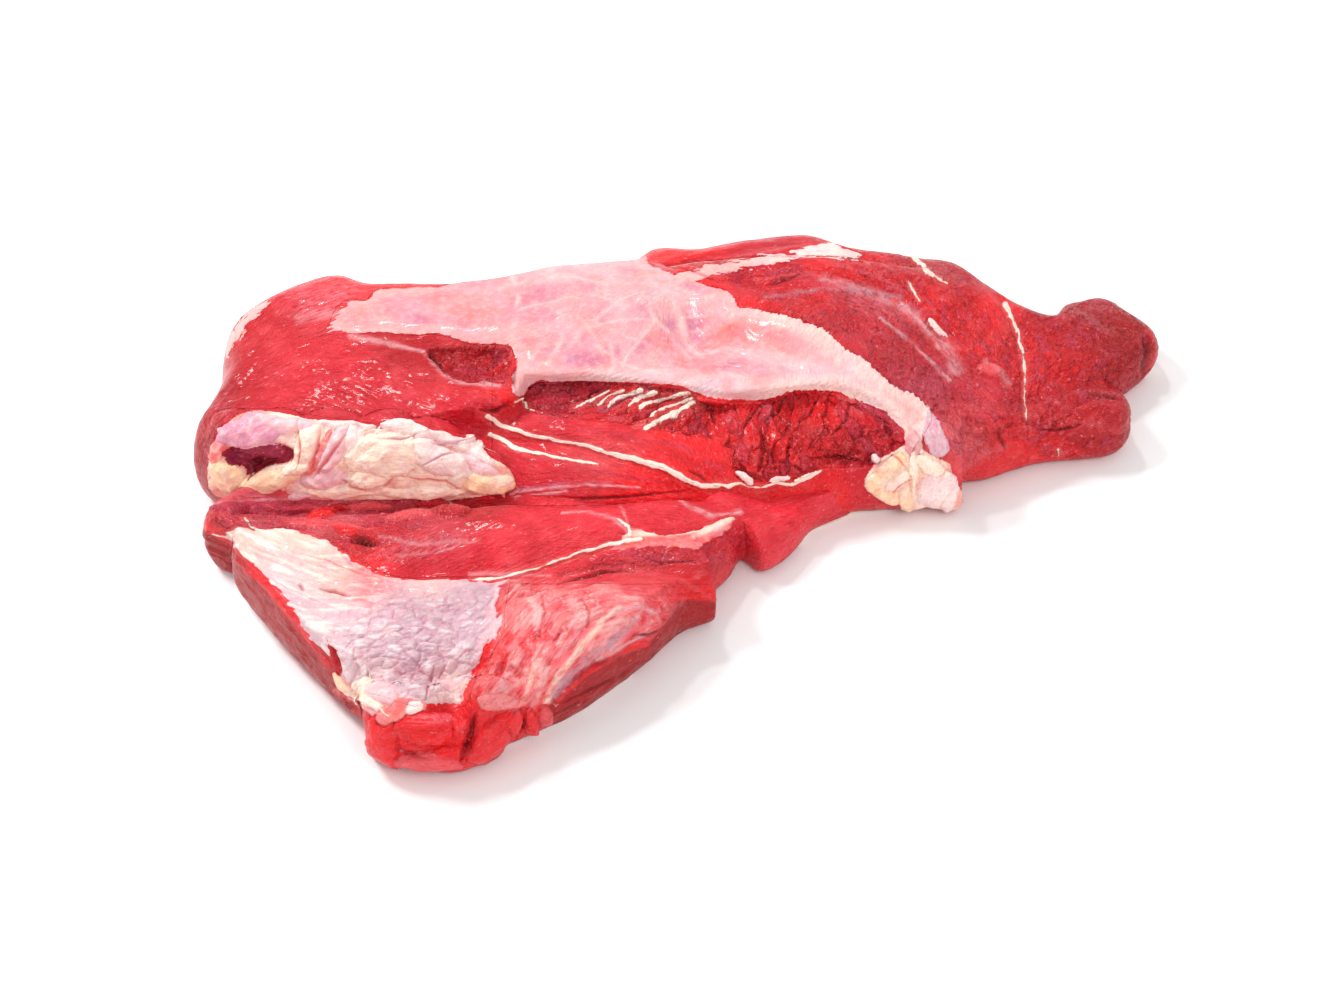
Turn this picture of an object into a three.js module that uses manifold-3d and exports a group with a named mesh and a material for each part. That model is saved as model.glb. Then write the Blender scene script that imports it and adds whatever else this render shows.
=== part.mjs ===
// A raw boneless slab of beef, cut from the short rib and plate, lying flat on its underside.
//
// It is one piece of meat. A thick back body (smooth rib muscle, skinned plateau, thin tail to the
// right) lies half over a thinner triangular flap in front, and the two grow together under a crevice.
// Each of the two lobes is a closed "pillow": rays run out from a spine to the outline, over a rounded
// rim, under the edge and back along the flat underside. Muscles, folds, lips and lumps of fat are
// relief on the lobes' upper sides, and the two pillows are joined into one solid.
//
// Millimetres, +Z up. The origin is the centre of the bounding box at its underside, +X runs along the
// slab from its blunt end to its thin tail, and +Y runs from the flap to the back edge.

import * as THREE from "three";
import Module from "manifold-3d";

// Driving sizes
const BODY_THICKNESS = 47; // the back body where it is thickest, between its muscles
const TAIL_THICKNESS = 23; // the thin right end of the back body
const FLAP_THICKNESS = 32; // the flap in front
const FLAP_SIDE_THICKNESS = 19; // the flap's right edge, pressed thin beside the body
const BULGE_SHARE = 0.4; // height of the widest line of the side, as a share of the thickness
const UNDERCUT = 8; // how far the foot of the side is drawn in

// Fineness of the two lobes: rays off each side of the spine and round its ends, and rings
const BODY_GRID = { side: 46, rightFan: 26, leftFan: 20, top: 16, rim: 5, under: 2, floor: 1 };
const FLAP_GRID = { side: 36, rightFan: 14, leftFan: 12, top: 13, rim: 4, under: 2, floor: 1 };
const CURVE_STEPS = 12; // straight steps between two points of an outline

// Outlines, seen from above. Each point is [x, y, radius of the rim there].
// Every edge runs from the lobe's left end to its right end, and both edges hold those two ends.
const BODY_BACK_EDGE = [
  [-221, 18, 14], [-216, 42, 14], [-217, 80, 16], [-204, 101, 18], [-186, 118, 22], [-167, 127, 22],
  [-152, 119, 22], [-124, 117, 22], [-92, 119, 22], [-55, 133, 22], [-30, 144, 22], [-18, 155, 20],
  [3, 154, 20], [28, 160, 20], [53, 165, 20], [78, 155, 20], [103, 156, 18], [126, 156, 17],
  [139, 141, 16], [150, 128, 16], [170, 113, 14], [181, 127, 13], [200, 136, 12], [212, 122, 11],
  [222, 103, 10],
];
const BODY_FRONT_EDGE = [
  [-221, 18, 14], [-223, 5, 14], [-213, -7, 15], [-197, -15, 18], [-172, -22, 22], [-136, -24, 24],
  [-98, -24, 22], [-58, -26, 18], [-20, -26, 18], [20, -22, 18], [54, -12, 18], [84, -8, 16],
  [104, -7, 14], [120, -6, 12], [120, 9, 12], [134, 13, 12], [158, 24, 12], [189, 29, 12],
  [200, 38, 12], [201, 50, 12], [196, 63, 12], [216, 87, 11], [222, 103, 10],
];
const FLAP_BACK_EDGE = [
  [-214, -34, 8], [-208, -22, 10], [-193, -12, 12], [-136, -15, 12], [-80, -12, 13], [-24, -4, 14],
  [30, 2, 14], [70, 4, 10], [78, -1, 8],
];
const FLAP_FRONT_EDGE = [
  [-214, -34, 8], [-211, -42, 6], [-200, -48, 5], [-196, -64, 5], [-170, -100, 5], [-146, -129, 6],
  [-136, -138, 10], [-133, -155, 14], [-122, -162, 16], [-106, -165, 16], [-91, -163, 16],
  [-80, -153, 14], [-49, -133, 8], [-22, -107, 7], [-5, -86, 7], [10, -77, 8], [7, -66, 10],
  [16, -51, 12], [22, -38, 10], [30, -47, 12], [42, -38, 16], [55, -17, 13], [78, -1, 8],
];

// Spines, from which rays run out to the outlines: [x, y, heading in degrees]
const BODY_SPINE = [
  [-164, 44, 0], [-90, 46, 6], [0, 62, 8], [70, 70, 4], [130, 74, 4], [178, 80, 6],
];
const FLAP_SPINE = [
  [-168, -48, -12], [-120, -62, -4], [-60, -62, 14], [0, -40, 22], [44, -18, 24],
];

// Broad muscles and hollows: centre, half-lengths along and across, turn in degrees, rise
const BODY_MUSCLES = [
  { at: [-152, 60], half: [66, 44], turn: -8, rise: 5 }, // smooth rib muscle
  { at: [-48, 92], half: [66, 36], turn: 8, rise: 7 }, // skinned plateau
  { at: [50, 66], half: [50, 17], turn: -36, rise: 7 }, // fold of skin towards the tail
  { at: [-2, 72], half: [15, 28], turn: 12, rise: -4 }, // hollow beside the fold
  { at: [-103, 46], half: [20, 9], turn: -6, rise: -6 }, // torn pocket at the end of the rib muscle
  { at: [64, 120], half: [62, 17], turn: -3, rise: 5 }, // long muscle of the back edge
  { at: [-20, 130], half: [26, 16], turn: 20, rise: -4 }, // dip before it
  { at: [120, 66], half: [20, 40], turn: 12, rise: -3 }, // shallow trough across the tail
  { at: [180, 84], half: [26, 34], turn: 0, rise: 4 }, // end muscle of the tail
  { at: [176, 44], half: [20, 10], turn: 14, rise: 3 }, // smaller muscle in front of it
];
const FLAP_MUSCLES = [
  { at: [-84, -54], half: [80, 19], turn: 6, rise: 7 }, // long muscle beside the crevice
  { at: [-34, -98], half: [44, 15], turn: 28, rise: 6 }, // muscle behind the front right cut
  { at: [-116, -151], half: [17, 12], turn: 4, rise: 9 }, // lump at the tip
  { at: [-84, -146], half: [12, 11], turn: 0, rise: 8 }, // smaller lump beside it
  { at: [-128, -100], half: [36, 28], turn: 0, rise: 3 }, // crown under the white skin
];

// Grooves and creases: path, half-width, depth
const BODY_GROOVES = [
  { path: [[-8, 122], [30, 128], [72, 131], [104, 133]], width: 6, depth: 3 }, // along the back muscle
  { path: [[30, 102], [62, 104], [92, 98], [112, 80]], width: 8, depth: 3 }, // beside the back muscle
  { path: [[150, 112], [153, 84], [150, 52]], width: 5, depth: 2.5 }, // seam across the tail
  { path: [[152, 40], [176, 58], [200, 60]], width: 7, depth: 3.5 }, // fold between the two tail lobes
];
const FLAP_GROOVES = [
  { path: [[-192, -29], [-150, -30], [-90, -28], [-30, -24], [0, -20]], width: 8, depth: 9 }, // crevice
  { path: [[-114, -80], [-70, -74], [-30, -60], [4, -50]], width: 6, depth: 2.5 }, // seam of fat
  { path: [[-66, -82], [-40, -76], [-16, -75], [10, -82]], width: 7, depth: 4 }, // behind the cut muscle
  { path: [[-136, -134], [-112, -136], [-92, -131], [-72, -135]], width: 6, depth: 6 }, // above the lumps
  { path: [[-97, -168], [-98, -154], [-96, -144]], width: 6, depth: 6 }, // between the two lumps
];

// Lips, where the upper layer ends and the meat steps down on the right-hand side of the path:
// path, drop, width of the step, and how far the lowered part runs
const BODY_LIPS = [
  {
    path: [
      [-96, 13], [-86, 16], [-80, 24], [-76, 36], [-52, 37], [-10, 31], [14, 25], [34, 28], [54, 32],
      [74, 28], [90, 17], [96, 4],
    ],
    drop: 8, edge: 13, run: 30,
  }, // end of the rib muscle and lower edge of the skin, over the rough open meat
  { path: [[-90, 10], [-52, 3], [-32, -3], [-6, -16]], drop: 3, edge: 10, run: 16 }, // white seam
];

// Lumps of fat that hang over the crevice at the blunt end: [x, y, radius, rise]
const LEFT_FAT = [
  [-203, -2, 12, 5], [-182, -4, 14, 5], [-158, -5, 16, 6], [-134, -7, 16, 6], [-112, -8, 16, 6],
  [-92, -15, 11, 4],
];
// Lumps of fat at the notch between the flap and the tail
const RIGHT_FAT = [
  [90, 0, 10, 3], [108, 2, 12, 4],
];

const { clamp, lerp, smoothstep, degToRad } = THREE.MathUtils;

// A rounded rise (or hollow) with an elliptical base.
function mound(x, y, { at, half, turn, rise }) {
  const angle = degToRad(turn);
  const dx = x - at[0];
  const dy = y - at[1];
  const along = (dx * Math.cos(angle) + dy * Math.sin(angle)) / half[0];
  const across = (dy * Math.cos(angle) - dx * Math.sin(angle)) / half[1];
  return rise * Math.exp(-along * along - across * across);
}

// A round lump, steeper at its foot than a mound.
function lump(x, y, [lx, ly, radius, rise]) {
  const share = Math.hypot(x - lx, y - ly) / radius;
  return rise * Math.sqrt(Math.max(0, 1 - share * share * share));
}

// The nearest place on a path of straight stretches: the distance to it, signed so that the path's
// right-hand side is positive, and how far the point lies beyond the path's ends.
function beside(path, x, y) {
  let best = { side: Infinity, beyond: 0 };
  for (let k = 0; k + 1 < path.length; k += 1) {
    const [ax, ay] = path[k];
    const ex = path[k + 1][0] - ax;
    const ey = path[k + 1][1] - ay;
    const length = Math.hypot(ex, ey);
    const along = ((x - ax) * ex + (y - ay) * ey) / length;
    const held = clamp(along, 0, length);
    const distance = Math.hypot(x - ax - (ex * held) / length, y - ay - (ey * held) / length);
    if (distance < Math.abs(best.side)) {
      const rightHand = (x - ax) * ey - (y - ay) * ex >= 0;
      const atEnd = (k === 0 && along < 0) || (k + 2 === path.length && along > length);
      best = { side: rightHand ? distance : -distance, beyond: atEnd ? Math.abs(along - held) : 0 };
    }
  }
  return best;
}

function groove(x, y, { path, width, depth }) {
  const { side } = beside(path, x, y);
  return -depth * Math.exp(-((side / width) ** 2));
}

function lip(x, y, { path, drop, edge, run }) {
  const { side, beyond } = beside(path, x, y);
  if (side <= 0) return 0;
  return -drop * smoothstep(side, 0, edge) * Math.exp(-((side / run) ** 2) - (beyond / run) ** 2);
}

// Low swells all over, as no cut of meat is level: three crossing waves.
function swell(x, y) {
  return (
    0.7 * Math.sin(x / 13 + y / 29) * Math.sin(y / 11 - x / 37) +
    0.5 * Math.sin(x / 7.3 - y / 17 + 1.3) * Math.sin(y / 8.1 + x / 23 + 0.4)
  );
}

const sumOf = (shape, list, x, y) => list.reduce((sum, item) => sum + shape(x, y, item), 0);
const highestOf = (shape, list, x, y) => Math.max(0, ...list.map((item) => shape(x, y, item)));

// Height of the back body's upper side.
function bodyTop(x, y) {
  const tail = smoothstep(x, 50, 205);
  const towardsFlap = smoothstep(-y, -22, 26) * smoothstep(x, -120, -60) * (1 - tail);
  const towardsBack = smoothstep(y, 100, 150);
  return (
    lerp(BODY_THICKNESS, TAIL_THICKNESS, tail) -
    13 * towardsFlap -
    6 * towardsBack +
    sumOf(mound, BODY_MUSCLES, x, y) +
    sumOf(groove, BODY_GROOVES, x, y) +
    sumOf(lip, BODY_LIPS, x, y) +
    highestOf(lump, LEFT_FAT, x, y) +
    highestOf(lump, RIGHT_FAT, x, y) +
    swell(x, y)
  );
}

// Height of the flap's upper side.
function flapTop(x, y) {
  const pressed = smoothstep(x, -12, 46) * smoothstep(y, -78, -52);
  const towardsTip = smoothstep(-y, 110, 165);
  return (
    lerp(FLAP_THICKNESS, FLAP_SIDE_THICKNESS, pressed) -
    5 * towardsTip +
    sumOf(mound, FLAP_MUSCLES, x, y) * (1 - 0.5 * pressed) +
    sumOf(groove, FLAP_GROOVES, x, y) +
    swell(x, y)
  );
}

// A point of the spine at `share` of its length: [x, y, heading].
function alongSpine(spine, share) {
  const lengths = spine.slice(1).map((p, k) => Math.hypot(p[0] - spine[k][0], p[1] - spine[k][1]));
  let left = share * lengths.reduce((sum, length) => sum + length, 0);
  let k = 0;
  while (k + 1 < lengths.length && left > lengths[k]) {
    left -= lengths[k];
    k += 1;
  }
  const t = clamp(left / lengths[k], 0, 1);
  return spine[k].map((value, axis) => lerp(value, spine[k + 1][axis], t));
}

// The feet and headings of all rays, clockwise seen from above: off the back of the spine from left to
// right, fanned out round its right end, off its front from right to left, fanned out round its left
// end. `twin` names the ray that starts at the same foot and is met first.
function raysOf(spine, { side, rightFan, leftFan }) {
  const rays = [];
  const add = ([x, y], heading, twin) => rays.push({ x, y, heading: degToRad(heading), twin });
  for (let k = 0; k <= side; k += 1) {
    const foot = alongSpine(spine, k / side);
    add(foot, foot[2] + 90, k);
  }
  const rightEnd = spine[spine.length - 1];
  for (let k = 1; k < rightFan; k += 1) {
    add(rightEnd, rightEnd[2] + 90 - (180 * k) / rightFan, side);
  }
  for (let k = side; k >= 0; k -= 1) {
    const foot = alongSpine(spine, k / side);
    add(foot, foot[2] - 90, k);
  }
  const leftEnd = spine[0];
  for (let k = 1; k < leftFan; k += 1) {
    add(leftEnd, leftEnd[2] - 90 - (180 * k) / leftFan, 0);
  }
  return rays;
}

// How far a ray runs until it meets the outline, and the radius of the rim there.
function meetOutline({ x, y, heading }, outline) {
  const dx = Math.cos(heading);
  const dy = Math.sin(heading);
  let best = { reach: Infinity, rim: 0 };
  outline.forEach((p, k) => {
    const q = outline[(k + 1) % outline.length];
    const turn = dx * (q.y - p.y) - dy * (q.x - p.x);
    const reach = ((p.x - x) * (q.y - p.y) - (p.y - y) * (q.x - p.x)) / turn;
    const share = ((p.x - x) * dy - (p.y - y) * dx) / turn;
    if (reach > 0 && reach < best.reach && share >= 0 && share <= 1) {
      best = { reach, rim: lerp(p.z, q.z, share) };
    }
  });
  return best;
}

// How far each ring lies inside the outline, and its level: 1 is the upper side, 0 the widest line of
// the side and -1 the underside.
function ringsOf(grid, reach, rim, undercut) {
  const rings = [];
  for (let k = 0; k < grid.top; k += 1) {
    rings.push({ inset: lerp(reach, rim, k / grid.top), level: 1 });
  }
  for (let k = grid.rim; k > -grid.under; k -= 1) {
    const angle = (Math.PI / 2) * (k / (k > 0 ? grid.rim : grid.under));
    rings.push({ inset: (k > 0 ? rim : undercut) * (1 - Math.cos(angle)), level: Math.sin(angle) });
  }
  for (let k = 0; k <= grid.floor; k += 1) {
    rings.push({ inset: lerp(undercut, reach, k / grid.floor), level: -1 });
  }
  return rings;
}

// A closed mesh that lies flat on z = 0 inside the two edges, with its upper side at top(x, y).
function pillow(backEdge, frontEdge, spine, top, grid) {
  const corners = [...backEdge, ...frontEdge.slice(1, -1).reverse()].map((p) => new THREE.Vector3(...p));
  const outline = new THREE.CatmullRomCurve3(corners, true, "catmullrom", 0.5)
    .getPoints(corners.length * CURVE_STEPS)
    .slice(1);
  const rays = raysOf(spine, grid);
  const ringCount = grid.top + grid.rim + grid.under + grid.floor + 1;
  const vertices = [];
  const indices = Array.from({ length: ringCount }, () => []);
  rays.forEach((ray, i) => {
    const { reach, rim } = meetOutline(ray, outline);
    const rings = ringsOf(grid, reach, Math.min(rim, 0.8 * reach), Math.min(UNDERCUT, 0.5 * reach));
    rings.forEach(({ inset, level }, j) => {
      const onSpine = j === 0 || j === ringCount - 1;
      if (onSpine && ray.twin < i) {
        indices[j].push(indices[j][ray.twin]);
        return;
      }
      const x = ray.x + Math.cos(ray.heading) * (reach - inset);
      const y = ray.y + Math.sin(ray.heading) * (reach - inset);
      const height = top(x, y);
      const bulge = BULGE_SHARE * height;
      indices[j].push(vertices.length / 3);
      vertices.push(x, y, level >= 0 ? lerp(bulge, height, level) : bulge * (1 + level));
    });
  });
  const triangles = [];
  const addFace = (a, b, c) => {
    if (a !== b && b !== c && a !== c) triangles.push(a, b, c);
  };
  for (let j = 0; j + 1 < ringCount; j += 1) {
    rays.forEach((ray, i) => {
      const next = (i + 1) % rays.length;
      addFace(indices[j][i], indices[j][next], indices[j + 1][next]);
      addFace(indices[j][i], indices[j + 1][next], indices[j + 1][i]);
    });
  }
  return { vertices, triangles };
}

const wasm = await Module();
wasm.setup();

function solidOf({ vertices, triangles }) {
  return new wasm.Manifold(
    new wasm.Mesh({
      numProp: 3,
      vertProperties: new Float32Array(vertices),
      triVerts: new Uint32Array(triangles),
    }),
  );
}

// The joined solid as a geometry, centred over the origin and standing on z = 0.
function geometryOf(solid) {
  const { vertProperties, triVerts } = solid.getMesh();
  const geometry = new THREE.BufferGeometry();
  geometry.setAttribute("position", new THREE.BufferAttribute(new Float32Array(vertProperties), 3));
  geometry.setIndex(new THREE.BufferAttribute(new Uint32Array(triVerts), 1));
  geometry.computeBoundingBox();
  const { min, max } = geometry.boundingBox;
  geometry.translate(-(min.x + max.x) / 2, -(min.y + max.y) / 2, -min.z);
  geometry.computeVertexNormals();
  return geometry;
}

const body = solidOf(pillow(BODY_BACK_EDGE, BODY_FRONT_EDGE, BODY_SPINE, bodyTop, BODY_GRID));
const flap = solidOf(pillow(FLAP_BACK_EDGE, FLAP_FRONT_EDGE, FLAP_SPINE, flapTop, FLAP_GRID));

const rawBeef = new THREE.MeshStandardMaterial({ color: 0xc8323e, roughness: 0.42, metalness: 0 });
const slab = new THREE.Mesh(geometryOf(body.add(flap)), rawBeef);
slab.name = "beef_slab";

const beef = new THREE.Group();
beef.add(slab);

export default beef;
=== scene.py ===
"""A raw boneless slab of beef that lies on its underside: a thick back body and a thinner flap.

Each lobe is a closed grid. Rays run from a spine to the outline, over a rounded rim, under the edge and
back along the underside. Large forms repeat the solid's named muscles, grooves and lips. Skin, fat,
seams and torn meat are placed by outlines and paths read off the photo in its own pixels.
Lengths are in millimetres until a mesh is made.
"""
from itertools import product

import bpy
import numpy as np
from mathutils import Matrix


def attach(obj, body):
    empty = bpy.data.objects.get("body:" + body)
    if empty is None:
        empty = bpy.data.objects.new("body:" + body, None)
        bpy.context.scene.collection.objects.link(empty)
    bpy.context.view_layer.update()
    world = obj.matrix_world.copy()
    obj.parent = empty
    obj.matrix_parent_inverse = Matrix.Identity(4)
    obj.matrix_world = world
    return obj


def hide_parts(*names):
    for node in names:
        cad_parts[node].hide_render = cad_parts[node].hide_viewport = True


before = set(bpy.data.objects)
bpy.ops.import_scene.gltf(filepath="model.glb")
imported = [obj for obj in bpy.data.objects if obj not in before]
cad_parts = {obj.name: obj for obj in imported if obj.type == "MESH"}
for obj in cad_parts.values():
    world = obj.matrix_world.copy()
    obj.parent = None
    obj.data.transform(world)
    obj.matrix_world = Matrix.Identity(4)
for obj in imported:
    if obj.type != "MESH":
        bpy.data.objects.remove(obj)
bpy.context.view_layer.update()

METRES_TO_MM = 1000.0

# The photo's camera, in the frame's millimetres
PHOTO_SIZE = np.array([1333.0, 1000.0])
LENS, SENSOR = 70.0, 36.0
ELEVATION = np.radians(42.0)
DISTANCE = 1134.0
AIM = np.array([-12.0, -23.0, 25.0])
RIGHT = np.array([1.0, 0.0, 0.0])
FORWARD = np.array([0.0, np.cos(ELEVATION), -np.sin(ELEVATION)])
UP = np.array([0.0, np.sin(ELEVATION), np.cos(ELEVATION)])
EYE = AIM - DISTANCE * FORWARD
PIXELS_PER_MM = LENS / SENSOR * PHOTO_SIZE[0] / DISTANCE
FORESHORTENING = 0.7  # a millimetre towards the back shows about this much shorter than one across

# Large forms, the same as the solid's

BODY_THICKNESS, TAIL_THICKNESS = 47.0, 23.0
FLAP_THICKNESS, FLAP_SIDE_THICKNESS = 32.0, 19.0
BULGE_SHARE = 0.4
UNDERCUT = 8.0

# Outlines seen from above, left end to right end: x, y, radius of the rim
BODY_BACK_EDGE = [
    (-221, 18, 14), (-216, 42, 14), (-217, 80, 16), (-204, 101, 18), (-186, 118, 22), (-167, 127, 22),
    (-152, 119, 22), (-124, 117, 22), (-92, 119, 22), (-55, 133, 22), (-30, 144, 22), (-18, 155, 20),
    (3, 154, 20), (28, 160, 20), (53, 165, 20), (78, 155, 20), (103, 156, 18), (126, 156, 17),
    (139, 141, 16), (150, 128, 16), (170, 113, 14), (181, 127, 13), (200, 136, 12), (212, 122, 11),
    (222, 103, 10)]
BODY_FRONT_EDGE = [
    (-221, 18, 14), (-223, 5, 14), (-213, -7, 15), (-197, -15, 18), (-172, -22, 22), (-136, -24, 24),
    (-98, -24, 22), (-58, -26, 18), (-20, -26, 18), (20, -22, 18), (54, -12, 18), (84, -8, 16),
    (104, -7, 14), (120, -6, 12), (120, 9, 12), (134, 13, 12), (158, 24, 12), (189, 29, 12),
    (200, 38, 12), (201, 50, 12), (196, 63, 12), (216, 87, 11), (222, 103, 10)]
FLAP_BACK_EDGE = [
    (-214, -34, 8), (-208, -22, 10), (-193, -12, 12), (-136, -15, 12), (-80, -12, 13), (-24, -4, 14),
    (30, 2, 14), (70, 4, 10), (78, -1, 8)]
FLAP_FRONT_EDGE = [
    (-214, -34, 8), (-211, -42, 6), (-200, -48, 5), (-196, -64, 5), (-170, -100, 5), (-146, -129, 6),
    (-136, -138, 10), (-133, -155, 14), (-122, -162, 16), (-106, -165, 16), (-91, -163, 16),
    (-80, -153, 14), (-49, -133, 8), (-22, -107, 7), (-5, -86, 7), (10, -77, 8), (7, -66, 10),
    (16, -51, 12), (22, -38, 10), (30, -47, 12), (42, -38, 16), (55, -17, 13), (78, -1, 8)]
# Spines: x, y, heading in degrees
BODY_SPINE = [(-164, 44, 0), (-90, 46, 6), (0, 62, 8), (70, 70, 4), (130, 74, 4), (178, 80, 6)]
FLAP_SPINE = [(-168, -48, -12), (-120, -62, -4), (-60, -62, 14), (0, -40, 22), (44, -18, 24)]

# Muscles and hollows: centre x, y, half-lengths along and across, turn in degrees, rise
BODY_MUSCLES = [
    (-152, 60, 66, 44, -8, 5), (-48, 92, 66, 36, 8, 7), (50, 66, 50, 17, -36, 7), (-2, 72, 15, 28, 12, -4),
    (-103, 46, 20, 9, -6, -6), (64, 120, 62, 17, -3, 5), (-20, 130, 26, 16, 20, -4),
    (120, 66, 20, 40, 12, -3), (180, 84, 26, 34, 0, 4), (176, 44, 20, 10, 14, 3)]
FLAP_MUSCLES = [
    (-84, -54, 80, 19, 6, 7), (-34, -98, 44, 15, 28, 6), (-116, -151, 17, 12, 4, 9),
    (-84, -146, 12, 11, 0, 8), (-128, -100, 36, 28, 0, 3)]
# Grooves: path, half-width, depth
BODY_GROOVES = [
    ([(-8, 122), (30, 128), (72, 131), (104, 133)], 6, 3),
    ([(30, 102), (62, 104), (92, 98), (112, 80)], 8, 3),
    ([(150, 112), (153, 84), (150, 52)], 5, 2.5),
    ([(152, 40), (176, 58), (200, 60)], 7, 3.5)]
FLAP_GROOVES = [
    ([(-192, -29), (-150, -30), (-90, -28), (-30, -24), (0, -20)], 8, 9),
    ([(-114, -80), (-70, -74), (-30, -60), (4, -50)], 6, 2.5),
    ([(-66, -82), (-40, -76), (-16, -75), (10, -82)], 7, 4),
    ([(-136, -134), (-112, -136), (-92, -131), (-72, -135)], 6, 6),
    ([(-97, -168), (-98, -154), (-96, -144)], 6, 6)]
# Lips: path, drop on its right-hand side, width of the step, run of the lowered part
BODY_LIPS = [
    ([(-96, 13), (-86, 16), (-80, 24), (-76, 36), (-52, 37), (-10, 31), (14, 25), (34, 28), (54, 32),
      (74, 28), (90, 17), (96, 4)], 8, 5, 30),
    ([(-90, 10), (-52, 3), (-32, -3), (-6, -16)], 3, 4, 16)]
# Lumps of fat: x, y, radius, rise
LEFT_FAT = [
    (-203, -2, 12, 5), (-182, -4, 14, 5), (-158, -5, 16, 6), (-134, -7, 16, 6), (-112, -8, 16, 6),
    (-92, -15, 11, 4)]
RIGHT_FAT = [(90, 0, 10, 3), (108, 2, 12, 4)]


def smoothstep(low, high, x):
    """0 below low, 1 above high, and the cubic 3t^2 - 2t^3 between."""
    t = np.clip((x - low) / (high - low), 0.0, 1.0)
    return t * t * (3.0 - 2.0 * t)


def nearest_on(path, q):
    """Signed distance of points q to a path (right-hand side positive), the share of the path's
    length at the nearest place, and how far a point lies beyond the path's ends."""
    path = np.asarray(path, float)
    step = np.diff(path, axis=0)
    length = np.linalg.norm(step, axis=1)
    reach = np.concatenate([[0.0], np.cumsum(length)])
    best = np.full(len(q), np.inf)
    side, share, beyond = np.ones(len(q)), np.zeros(len(q)), np.zeros(len(q))
    for k in range(len(step)):
        dx, dy = q[:, 0] - path[k, 0], q[:, 1] - path[k, 1]
        ux, uy = step[k] / length[k]
        along = dx * ux + dy * uy
        held = np.clip(along, 0.0, length[k])
        squared = (dx - held * ux) ** 2 + (dy - held * uy) ** 2
        nearer = squared < best
        best = np.where(nearer, squared, best)
        side = np.where(nearer, dx * uy - dy * ux, side)
        share = np.where(nearer, reach[k] + held, share)
        at_end = (along < 0) if k == 0 else np.zeros(len(q), bool)
        at_end |= (along > length[k]) & (k == len(step) - 1)
        beyond = np.where(nearer, np.where(at_end, np.abs(along - held), 0.0), beyond)
    return np.where(side >= 0, 1.0, -1.0) * np.sqrt(best), share / reach[-1], beyond


def close_to(path, q, margin):
    """Indices of the points within a margin of a path's own box."""
    low, high = np.min(path, axis=0) - margin, np.max(path, axis=0) + margin
    return np.flatnonzero(((q > low) & (q < high)).all(1))


def mound(x, y, spec):
    """rise * exp(-(along/a)^2 - (across/b)^2) about a turned centre."""
    cx, cy, a, b, turn, rise = spec
    c, s = np.cos(np.radians(turn)), np.sin(np.radians(turn))
    along = ((x - cx) * c + (y - cy) * s) / a
    across = ((y - cy) * c - (x - cx) * s) / b
    return rise * np.exp(-along ** 2 - across ** 2)


def groove(x, y, spec):
    """-depth * exp(-(distance/width)^2) beside a path."""
    path, width, depth = spec
    side = nearest_on(path, np.stack([x, y], -1))[0]
    return -depth * np.exp(-(side / width) ** 2)


def lip(x, y, spec):
    """A step down on the right-hand side of a path that fades out over its run."""
    path, drop, edge, run = spec
    side, _, beyond = nearest_on(path, np.stack([x, y], -1))
    fade = np.exp(-(side / run) ** 2 - (beyond / run) ** 2)
    return np.where(side > 0, -drop * smoothstep(0.0, edge, side) * fade, 0.0)


def lump(x, y, spec):
    """rise * sqrt(1 - (distance/radius)^3) inside the radius."""
    cx, cy, radius, rise = spec
    share = np.hypot(x - cx, y - cy) / radius
    return rise * np.sqrt(np.clip(1.0 - share ** 3, 0.0, None))


def swell(x, y):
    """Low swells: two pairs of crossing waves."""
    return (0.7 * np.sin(x / 13 + y / 29) * np.sin(y / 11 - x / 37)
            + 0.5 * np.sin(x / 7.3 - y / 17 + 1.3) * np.sin(y / 8.1 + x / 23 + 0.4))


def body_top(x, y):
    """Height of the back body: thickness falling to the tail, the flap and the back, plus its forms."""
    tail = smoothstep(50, 205, x)
    towards_flap = smoothstep(-22, 26, -y) * smoothstep(-120, -60, x) * (1 - tail)
    height = BODY_THICKNESS + (TAIL_THICKNESS - BODY_THICKNESS) * tail
    height = height - 13 * towards_flap - 6 * smoothstep(100, 150, y) + swell(x, y)
    for shape, specs in ((mound, BODY_MUSCLES), (groove, BODY_GROOVES), (lip, BODY_LIPS)):
        for spec in specs:
            height = height + shape(x, y, spec)
    for specs in (LEFT_FAT, RIGHT_FAT):
        height = height + np.max([lump(x, y, spec) for spec in specs], axis=0)
    return height


def flap_top(x, y):
    """Height of the flap: thickness falling to its pressed side and its tip, plus its forms."""
    pressed = smoothstep(-12, 46, x) * smoothstep(-78, -52, y)
    height = FLAP_THICKNESS + (FLAP_SIDE_THICKNESS - FLAP_THICKNESS) * pressed
    height = height - 5 * smoothstep(110, 165, -y) + swell(x, y)
    for spec in FLAP_MUSCLES:
        height = height + mound(x, y, spec) * (1 - 0.5 * pressed)
    for spec in FLAP_GROOVES:
        height = height + groove(x, y, spec)
    return height


# Lobes

def closed_curve(points, per_gap=12):
    """A smooth closed curve through points: uniform Catmull-Rom, per_gap samples a gap."""
    p = np.asarray(points, float)
    a, b, c, d = (np.roll(p, s, 0)[:, None] for s in (1, 0, -1, -2))
    t = (np.arange(per_gap) / per_gap)[None, :, None]
    curve = 0.5 * (2 * b + (c - a) * t + (2 * a - 5 * b + 4 * c - d) * t ** 2
                   + (3 * b - a - 3 * c + d) * t ** 3)
    return curve.reshape(-1, p.shape[1])


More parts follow.
